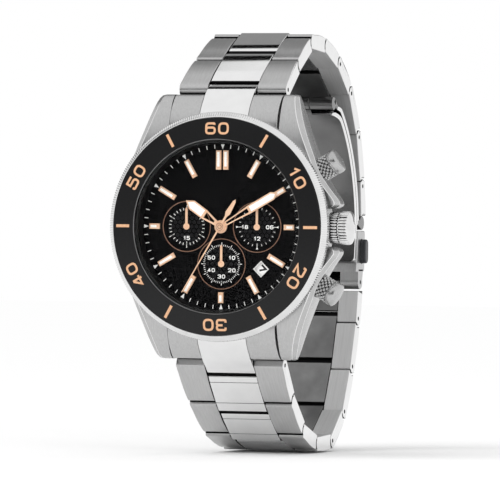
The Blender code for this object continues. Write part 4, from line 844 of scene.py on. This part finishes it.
def carved(shape, cut, needed):
    # cut gives a point's depth and whether it lies deep in a groove; a face with enough such corners takes the near
    # black seam steel, a painted shade
    points, faces = shape[:2]
    moved, deep = [], set()
    for number, (x, y, z) in enumerate(points):
        radius = math.hypot(x, y)
        depth, inGroove = cut(math.atan2(y, x), radius, z)
        if inGroove:
            deep.add(number)
        if depth:
            x, y = x * (radius - depth) / radius, y * (radius - depth) / radius
        moved.append((x, y, z))
    return moved, faces, [1 if sum(i in deep for i in face) >= needed else 0 for face in faces]


def makeCrown():
    # flutes are cut only where the cap is widest, in each of its two tiers
    r = crown["radius"]
    profile = [(2.0, 20.95), (r - 0.5, 20.95), (r - 0.32, 21.0), (r - 0.2, 21.15), (r - 0.18, 21.3), (r - 0.18, 22.75),
               (r - 0.28, 22.95), (r - 0.75, 23.0), (r - 0.75, 23.12), (r - 0.1, 23.16), (r, 23.3), (r, 24.75),
               (r - 0.12, 24.95), (r - 0.4, 25.08), (r - 0.7, 25.2), (r - 1.2, 25.36), (r - 2.0, 25.5), (1.0, 25.58),
               (0, 25.6), (0, 23.95), (2.0, 23.95)]

    def flute(turn, radius, z):
        # the floors of the flutes and the groove between the two tiers are painted near black as shade
        if radius > r - 0.24 and (21.1 < z < 22.9 or 23.2 < z < 24.85):
            share = (0.5 - 0.5 * math.cos(turn * crown["flutes"])) ** 2
            return crown["fluteDepth"] * share, share > 0.5
        return 0, 22.85 < z < 23.15 and radius > r - 1

    addPiece("crownCap", carved(lathe(profile, crown["flutes"] * 8), flute, 3), [bezelSteel, seamShadeSteel], "crown",
             "polished_steel", outwards(0), ["crown"], sharp=40)


def makePusher(word, degrees):
    r, start, end, rows = pusher["radius"], pusher["start"], pusher["end"], pusher["rows"]
    knurlEnd, node = end - pusher["capLength"], "pusher_" + word.lower()
    profile = [(1.75, start), (r - 0.25, start), (r - 0.1, start + 0.1)]
    profile += [(r, start + 0.2 + (knurlEnd - start - 0.2) * i / rows) for i in range(rows + 1)]
    profile += [(r - 0.3, knurlEnd + 0.06), (r - 0.3, knurlEnd + 0.22), (r - 0.06, knurlEnd + 0.3),
                (r, knurlEnd + 0.42), (r, end - 0.5), (r - 0.1, end - 0.25), (r - 0.35, end - 0.08), (r - 0.8, end),
                (0, end), (0, 24.65), (1.75, 24.65)]

    def knurl(turn, radius, z):
        # two sets of crossing spirals leave a stud between them
        # the valleys between the studs are painted near black as shade
        if radius < r - 0.02 or not start + 0.15 < z < knurlEnd + 0.01:
            return 0, False
        turn *= pusher["knurlTurns"]
        climb = (z - start) / (knurlEnd - start) * pusher["knurlRows"] * 2 * math.pi
        pattern = abs(math.sin((turn + climb) / 2) * math.sin((turn - climb) / 2))
        return pusher["knurlDepth"] * (1 - pattern), pattern < 0.3

    addPiece("pusherCap" + word, carved(lathe(profile, pusher["knurlTurns"] * 12), knurl, 4), [satinSteel, seamShadeSteel],
             node, "brushed_steel", outwards(degrees), [node], sharp=45)
    addPiece("pusherStem" + word, lathe(box(0, 0.75, 15.0, 24.7), 24), [drawnSteel], node, "brushed_steel",
             outwards(degrees))


makeCrown()
makePusher("Upper", pusher["angle"])
makePusher("Lower", -pusher["angle"])
print("crown and pushers made")


# bracelet

bracelet = {"thickness": 2.8, "crown": 0.3, "middle": 4.9, "gap": 0.14, "bevel": 0.1, "sideGap": 0.42,
            "starts": {"upper": (1.1, 3.0), "lower": (2.05, 2.45, 2.9)}, "laterStart": 2.3, "slope": 3.2,
            "farSlope": 1.85, "bodyRise": 0.12, "nearDrop": 0.22, "farDrop": 0.16, "nose": 1.2, "openNose": 2.2,
            "creases": (1.45, 1.1), "pinHole": 0.42, "pinRadius": 0.4, "pinDepth": 0.9,
            "halfWidths": (10.8, 10.4, 10.0, 9.65, 9.3, 9.0, 9.0, 9.0)}
hingeSpots = {joint["name"]: Vector(joint["pos_m"]) / mm for joint in frame["joints"] if joint.get("pos_m")}
lastBar = sum((Vector(corner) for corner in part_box("clasp_spring_bar")), Vector()) / 2 / mm


def linkPlace(start, end, hand):
    # hand is 1 or -1, so that the third axis points away from the wrist in both halves
    along, across = (end - start).normalized(), Vector((hand, 0, 0))
    return Matrix.Translation(start) @ Matrix((across, along, across.cross(along))).transposed().to_4x4()


def outerProfile(pitch, openEnd, firstOf):
    # round the near pin, hollowed round the far one, with a low crown between
    half = bracelet["thickness"] / 2
    reach = half + bracelet["sideGap"]
    near = [(-0.35, half + 0.04), (-0.75, half - 0.02), (-0.92, half - 0.12)]
    near += arc((0, 0), half - 0.02, 136, 224, 16) + [(-0.92, -half + 0.12), (-0.75, -half + 0.02)]
    if firstOf == "upper":
        near = arc((0, 0), half - 0.01, 94, 266, 26)
    elif firstOf == "lower":
        near = [(-0.35, half + 0.04), (-0.75, half), (-0.95, half - 0.1), (-1.3, 0.5), (-1.37, 0.1)]
        near += arc((0, 0), half - 0.02, 184, 262, 12)
    if openEnd:
        stop = pitch - reach
        far = [(stop - 0.35, -half), (stop - 0.2, -half + 0.15), (stop - 0.2, half - 0.3), (stop - 0.35, half - 0.05)]
    else:
        far = [(pitch - 1.75, -half), (pitch - 1.6, -half + 0.03), (pitch - 1.45, -half + 0.12)]
        far += arc((pitch, 0), reach, 222, 138, 12)
        far += [(pitch - 1.42, half - 0.08), (pitch - 1.55, half + 0.03)]
    rises = ((0.8, 0.45), (0.72, 0.74), (0.62, 0.93), (0.5, 1.0), (0.38, 0.93), (0.28, 0.74), (0.2, 0.5), (0.12, 0.3),
             (0.04, 0.14))
    return near + far + [(pitch * share, half + rise * bracelet["crown"]) for share, rise in rises]


def tapered(shape, half, narrower, pitch):
    # side faces slant to the next link's width, so that neighbours are flush at the pin
    points, faces, tags = shape
    slanted = []
    for x, y, z in points:
        if abs(x) > half - 0.3:
            x -= math.copysign((half - narrower) * min(1, max(0, y / pitch)), x)
        slanted.append((x, y, z))
    return slanted, faces, tags


def inSocket(pitch, skin):
    # faces that look into the joint with the next link, or lie deep in the joint with the one before, are painted near
    # black as shade
    half = bracelet["thickness"] / 2

    def tag(y, z):
        if y > pitch - 1.5 and abs(z) < half - 0.02:
            return 2
        if y < 0 and math.hypot(y, z) < half and abs(math.degrees(math.atan2(z, y))) > skin:
            return 2
        return 3 if z < -half + 0.1 else 0
    return tag


def creasesOf(pitch, start):
    near, far = bracelet["creases"]
    return start + near, pitch - far


def middleProfile(pitch, start, creased, nose):
    # hollowed round the nose of the piece before, sloping up to a flat body, sloping down to a nose of its own
    half, slope, end = bracelet["thickness"] / 2, bracelet["slope"], pitch + nose

    def height(along):
        near, far = max(0, 1 - (along - start) / slope), max(0, (along - pitch + bracelet["farSlope"]) / slope)
        return half + bracelet["bodyRise"] - bracelet["nearDrop"] * near ** 2 - bracelet["farDrop"] * far ** 2

    near = arc((0, 0), 1.92 if start > 2 else start + 0.2, -46, 36, 9)
    near += [(start - 0.08, height(start) - 0.24), (start, height(start) - 0.08)]
    spots = [start + 0.08 + (end - start - 0.08) * i / 18 for i in range(19)]
    top = [(along, height(along)) for along in spots]
    for crease in creasesOf(pitch, start) if creased else ():
        top = [spot for spot in top if abs(spot[0] - crease) > 0.2]
        top += [(crease + side * 0.07, height(crease) - (0.1 if side == 0 else 0)) for side in (-1, 0, 1)]
    far = [(end + 0.12, height(end) - 0.12), (end + 0.1, height(end) - 0.3), (end + 0.05, 0.6)]
    return near + sorted(top) + far + arc((pitch, 0), half - 0.1, 20, -90, 12) + [(pitch - 0.5, -half), (1.5, -half)]


def inSeam(pitch, start, creased):
    # painted near black as shade in the joints and creases, and painted dark grey as shade on the wrist side
    half = bracelet["thickness"] / 2
    creases = creasesOf(pitch, start)

    def tag(y, z):
        if z < -half + 0.06:
            return 3
        inCrease = creased and min(abs(y - crease) for crease in creases) < 0.06 and z > 1
        return 2 if inCrease or y < start + 0.02 and z < half or y > pitch / 2 and z < 0.85 else 0
    return tag


def makeLink(word, number, start, end, openEnd):
    place, pitch = linkPlace(start, end, 1 if word == "upper" else -1), (end - start).length
    half, inner, bevel = bracelet["halfWidths"][number - 1], bracelet["middle"] + bracelet["gap"], bracelet["bevel"]
    body, title = f"{word}_link_{number}", word.capitalize() + str(number)
    begin = dict(enumerate(bracelet["starts"][word], 1)).get(number, bracelet["laterStart"])
    creased = word == "lower"
    profile = middleProfile(pitch, begin, creased, bracelet["openNose" if openEnd else "nose"])
    middle = sidePlate(profile, -bracelet["middle"], bracelet["middle"], bevel, capTag=2,
                       sideTag=inSeam(pitch, begin, creased))
    # tags: 0 the face that shows, 1 the sides, 2 seams, holes and the middle's sides against the outer pieces, painted
    # near black as shade, 3 the wrist side
    addPiece("linkMiddle" + title, middle, [polishedSteel, polishedSteel, seamShadeSteel, shadeSteel], body,
             "polished_steel", place, [body], local=True)
    # only the links that come out for sizing, and the first, have open pin holes
    slotted = number == 1 or number > 4
    sides = sidePair(outerProfile(pitch, openEnd, word if number == 1 else ""), inner, half, bevel,
                     [circle(bracelet["pinHole"], 16)] if slotted else [], capTag=1,
                     sideTag=inSocket(pitch, 176 if number == 1 else 132), holeTag=2)
    shape = tapered(merged(*sides), half, bracelet["halfWidths"][min(number, 7)], pitch)
    addPiece("linkSides" + title, shape, [linkSteel, polishedSteel, seamShadeSteel, wristSteel], body, "brushed_steel",
             place, local=True)
    if slotted:
        pins = []
        for side in (1, -1):
            low, high = sorted((side * (inner + 0.1), side * (half - bracelet["pinDepth"])))
            pins.append(placed(lathe(box(0, bracelet["pinRadius"], low, high), 16), toSide))
        addPiece("linkPins" + title, merged(*pins), [drawnSteel], body, "brushed_steel", place, local=True)


def makeBracelet():
    for word in ("upper", "lower"):
        spots = [hingeSpots[f"{word}_hinge_{i}"] for i in range(1, 9)]
        spots.append(hingeSpots["fold_leaf_hinge"] if word == "upper" else lastBar)
        for number in range(1, 9):
            makeLink(word, number, spots[number - 1], spots[number], word == "lower" and number == 8)


makeBracelet()
print("bracelet made")


# clasp

barrelSpot = hingeSpots["clasp_fold_hinge"]
leafSpot = hingeSpots["fold_leaf_hinge"]
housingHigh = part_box("clasp_housing")[1] / mm
clasp = {"centre": (leafSpot.y - 32.9, leafSpot.z - 2.04), "bladeRadius": 29.1, "bladeThickness": 1.0,
         "bladeAngles": (-11.4, 55.0), "leafRadius": 30.5, "leafThickness": 0.9, "leafAngles": (2.6, 54.5),
         "width": 17.4, "barrelRadius": 1.3, "housingOutside": housingHigh.y, "housingTop": housingHigh.z,
         "housingBottom": lastBar.z + 2.1, "knuckle": 3.2, "knuckleGap": 0.15, "pinRadius": 0.55, "earInside": 5.05,
         "earRadius": 1.4, "cheekInside": 6.6, "buttonHalfLength": 2.4, "buttonHalfWidth": 1.0, "buttonGap": 0.12}


def bentPlate(radius, thickness, angles, bevel, roundStart, roundEnd, steps=40):
    # a strip bent round the clasp's centre, thinner and narrower at its two ends
    (y0, z0), half, t, b = clasp["centre"], clasp["width"] / 2, thickness / 2, bevel
    sections = []
    for i in range(steps + 1):
        share = 0.5 - 0.5 * math.cos(math.pi * i / steps)
        angle = angles[0] + (angles[1] - angles[0]) * share
        fromStart, fromEnd = math.radians(angle - angles[0]) * radius, math.radians(angles[1] - angle) * radius
        width = half
        for reach, corner in ((fromStart, roundStart), (fromEnd, roundEnd)):
            if reach < corner:
                width = min(width, half - corner + math.sqrt(max(0.0, corner ** 2 - (corner - reach) ** 2)))
        thin = min(1.0, (min(fromStart, fromEnd) + 0.12) / 0.3)
        section = []
        for x, n in ((-width, b - t), (b - width, -t), (width - b, -t), (width, b - t), (width, t - b),
                     (width - b, t), (b - width, t), (-width, t - b)):
            y, z = polar(radius + n * thin, angle)
            section.append((x, y0 + y, z0 + z))
        sections.append(section)
    return loft(sections, [1, 0, 1, 1, 1, 0, 1, 1])


def stripEnd(radius, thickness, start, end, steps):
    # where a bent strip runs into its barrel
    inner, outer = radius - thickness / 2, radius + thickness / 2
    return arc(clasp["centre"], outer, start, end, steps) + arc(clasp["centre"], inner, end, start, steps)


def makeLeaf():
    half, radius, thickness = clasp["width"] / 2, clasp["leafRadius"], clasp["leafThickness"]
    barrel, pin = (barrelSpot.y, barrelSpot.z), (leafSpot.y, leafSpot.z)
    root = radius - thickness / 2 + clasp["centre"][0]
    ear = arc(pin, clasp["earRadius"], -100, 150, 20) + [(root + 0.3, pin[1] + 0.6), (root + 0.05, pin[1] - 0.4)]
    inside = clasp["knuckle"] + clasp["knuckleGap"]
    shapes = [bentPlate(radius, thickness, clasp["leafAngles"], 0.12, 0.6, 1.2)]
    for outline in (circle(clasp["barrelRadius"], 32, barrel), stripEnd(radius, thickness, 52.5, 59.0, 6)):
        shapes += sidePair(outline, inside, half - 0.6, 0.1, steps=2)
    shapes += sidePair(ear, clasp["earInside"], half, 0.12)
    shapes += [sidePlate(circle(clasp["pinRadius"], 16, spot), 1 - half, half - 1, 0.1, steps=2)
               for spot in (pin, barrel)]
    addPiece("claspFoldLeaf", merged(*shapes), [claspShadeSteel, polishedSteel], "clasp_fold_leaf", "brushed_steel", None,
             ["clasp_fold_leaf"])


def makeBlade():
    radius, thickness, knuckle = clasp["bladeRadius"], clasp["bladeThickness"], clasp["knuckle"]
    barrel = (barrelSpot.y, barrelSpot.z)
    shapes = [bentPlate(radius, thickness, clasp["bladeAngles"], 0.14, 0.8, 2.6),
              sidePlate(stripEnd(radius, thickness, 53.0, 58.0, 5), -knuckle, knuckle, 0.12),
              sidePlate(circle(clasp["barrelRadius"], 32, barrel), -knuckle, knuckle, 0.12,
                        [circle(clasp["pinRadius"] + 0.12, 16, barrel)])]
    addPiece("claspBlade", merged(*shapes), [claspShadeSteel, polishedSteel], "clasp", "polished_steel", None,
             ["clasp_blade"])


def stadium(centre, halfLength, halfWidth, steps=10):
    y, z = centre
    straight = halfLength - halfWidth
    return arc((y, z + straight), halfWidth, 0, 180, steps) + arc((y, z - straight), halfWidth, 180, 360, steps)


def makeHousing():
    half = clasp["width"] / 2 + 0.2
    low, high, far = clasp["housingBottom"], clasp["housingTop"], clasp["housingOutside"]
    (y0, z0), reach = clasp["centre"], clasp["bladeRadius"] + 0.55
    heights = [low + (high - low) * i / 6 for i in range(7)]
    profile = [(y0 + math.sqrt(reach ** 2 - (z - z0) ** 2), z) for z in heights]
    profile += [(far - 0.6, high), (far - 0.25, high - 0.07), (far - 0.05, high - 0.3), (far, high - 0.65),
                (far - 0.05, (low + high) / 2), (far - 0.2, low + 0.8), (far - 0.35, low + 0.3), (far - 0.7, low)]
    pin, button = (lastBar.y, lastBar.z), (far - 2.2, (low + high) / 2)
    length, width, gap = clasp["buttonHalfLength"], clasp["buttonHalfWidth"], clasp["buttonGap"]
    ear = arc(pin, clasp["earRadius"], 20, -200, 20)
    ear += [(pin[0] - clasp["earRadius"], low + 0.6), (far - 0.9, low + 0.6)]
    core = clasp["cheekInside"] + 0.1
    shapes = [sidePlate(profile, -core, core)]
    shapes += sidePair(profile, clasp["cheekInside"], half, 0.16, [stadium(button, length + gap, width + gap)])
    shapes += sidePair(ear, clasp["earInside"], half, 0.14, [circle(bracelet["pinHole"], 16, pin)])
    addPiece("claspHousing", merged(*shapes), [caseSteel], "clasp", "brushed_steel", None, ["clasp_housing"])
    heads = sidePair(stadium(button, length, width), 7.7, half + 1.15, 0.25)
    stems = sidePair(circle(0.6, 16, button), 4.6, 7.9, 0.1, steps=2)
    for word, head, stem in zip(("Right", "Left"), heads, stems):
        node = "clasp_button_" + word.lower()
        addPiece("claspButton" + word, merged(head, stem), [coatedSteel], node, "blackened_steel", None, [node])


makeLeaf()
makeBlade()
makeHousing()
print("clasp made")


# CAD nodes that stay as they are, with their own finishes

keptFinishes = [
    (nitrile, ["case_back_gasket", "crystal_gasket", "crown_gasket"]), (crystalClear, ["crystal"]),
    (flangeBlack, ["rehaut_ring"]), (stampedBrass, ["movement_plate"]), (greyNylon, ["movement_holder"]),
    (polishedSteel, ["battery"]), (epoxyBoard, ["circuit_board"]), (copperWire, ["drive_coil"]),
    (whiteNylon, ["date_wheel"]),
    (drawnSteel, ["bezel_click_spring", "battery_clamp", "crown_tube", "winding_stem", "clasp_spring_bar",
                  "clasp_button_spring", "pusher_sleeve_upper", "pusher_sleeve_lower", "pusher_spring_upper",
                  "pusher_spring_lower", "spring_bar_upper", "spring_bar_lower"]),
]
for finish, nodeNames in keptFinishes:
    for nodeName in nodeNames:
        for materialSlot in frame["nodes"][nodeName].material_slots:
            materialSlot.material = finish
print("kept nodes finished")


# studio

studio = {"paper": "#fbfbfb", "floorSize": 6.0, "ambient": 0.78, "sun": 1.15, "key": 1.6, "azimuth": 18.5,
          "distance": 1.1, "lens": 416.0, "roll": 0.65, "depth": -0.011, "sideways": 0.0066, "lift": -0.00437}


def addSheet(name, corners, materialName, settings):
    data = bpy.data.meshes.new(name)
    data.from_pydata(corners, [], [(0, 1, 2, 3)])
    data.materials.append(newMaterial(materialName, settings)[0])
    sheet = bpy.data.objects.new(name, data)
    bpy.context.scene.collection.objects.link(sheet)
    return sheet


def makeFloor():
    # matt studio paper: nearly white, keeps a soft shadow
    low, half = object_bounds()[0][2], studio["floorSize"] / 2
    addSheet("studioFloor", [(x, y, low) for x, y in box(-half, half, -half, half)], "studioPaper",
             {"Roughness": 1.0, "Specular IOR Level": 0.0, "Base Color": hexColour(studio["paper"])})


def makeCard(name, colour, centre, size, facing=(0, 0, 0)):
    # a matt card outside the picture that only mirrors see, so that polished faces get a dark edge
    x, y = size[0] / 2, size[1] / 2
    card = addSheet(name, [(*corner, 0) for corner in box(-x, x, -y, y)], "mattCard",
                    {"Base Color": (0, 0, 0, 1), "Specular IOR Level": 0.0, "Emission Color": hexColour(colour),
                     "Emission Strength": 1.0})
    card.location = centre
    card.rotation_euler = (Vector(facing) - Vector(centre)).to_track_quat("Z", "Y").to_euler()
    card.visible_camera = card.visible_diffuse = card.visible_shadow = card.visible_transmission = False


def makeWorld():
    world = bpy.data.worlds.new("studioWorld")
    bpy.context.scene.world = world
    world.use_nodes = True
    background = world.node_tree.nodes["Background"]
    background.inputs["Color"].default_value = (1, 1, 1, 1)
    # rays that are seen or mirrored get the full backdrop, and the light on surfaces is weaker
    path = addNode(world, "ShaderNodeLightPath")
    seen = path.outputs["Is Camera Ray"]
    for kind in ("Is Glossy Ray", "Is Transmission Ray"):
        seen = addNode(world, "ShaderNodeMath", {"operation": "MAXIMUM"},
                       {0: seen, 1: path.outputs[kind]}).outputs["Value"]
    level = addNode(world, "ShaderNodeMapRange", {"To Min": studio["ambient"], "To Max": 1.0}, {"Value": seen})
    connect(world, level.outputs["Result"], background.inputs["Strength"])


def addLamp(name, kind, power, size, place):
    lamp = bpy.data.lights.new(name, kind)
    lamp.energy = power
    if kind == "AREA":
        lamp.size = size
    else:
        lamp.angle = math.radians(size)
    made = bpy.data.objects.new(name, lamp)
    made.location = place
    made.rotation_euler = (-Vector(place)).to_track_quat("-Z", "Y").to_euler()
    made.visible_glossy = False
    bpy.context.scene.collection.objects.link(made)


def makeLights():
    addLamp("keySun", "SUN", studio["sun"], 50, (-0.5, -0.75, 0.8))
    addLamp("fillSoftbox", "AREA", studio["key"], 0.5, (0.5, -0.6, 0.25))
    makeCard("frontCard", "#1c1c1c", (-0.26, -0.93, -0.04), (1.0, 0.6))
    makeCard("sideCard", "#060606", (0.06, -0.96, 0), (0.36, 1.2))
    # behind the bracelet's top, from a dark strip down to the floor
    for name, colour, start, end in (("stripCard", "#050505", 119.5, 126), ("upperCard", "#969696", 126, 151),
                                     ("lowerCard", "#8c8c8c", 151, 176)):
        middle, width = (start + end) / 2, 2 * math.tan(math.radians((end - start) / 2))
        y, z = polar(1.0, middle)
        makeCard(name, colour, (-0.33, -y, z + 0.03), (1.6, width), (0, 0.01, 0.03))


def makeCamera():
    azimuth = math.radians(studio["azimuth"])
    right = Vector((math.cos(azimuth), math.sin(azimuth), 0))
    back = Vector((math.sin(azimuth), -math.cos(azimuth), 0))
    aim = Vector((0, studio["depth"], studio["lift"])) + right * studio["sideways"]
    data = bpy.data.cameras.new("studioCamera")
    data.sensor_width = 36
    data.lens = studio["lens"]
    data.clip_end = 10
    camera = bpy.data.objects.new("studioCamera", data)
    turn = Matrix((right, Vector((0, 0, 1)), back)).transposed().to_4x4()
    roll = Matrix.Rotation(math.radians(studio["roll"]), 4, "Z")
    camera.matrix_world = Matrix.Translation(aim + back * studio["distance"]) @ turn @ roll
    bpy.context.scene.collection.objects.link(camera)
    bpy.context.scene.camera = camera


makeFloor()
makeWorld()
makeLights()
makeCamera()
bpy.context.scene.view_settings.view_transform = "Standard"
print("studio made")
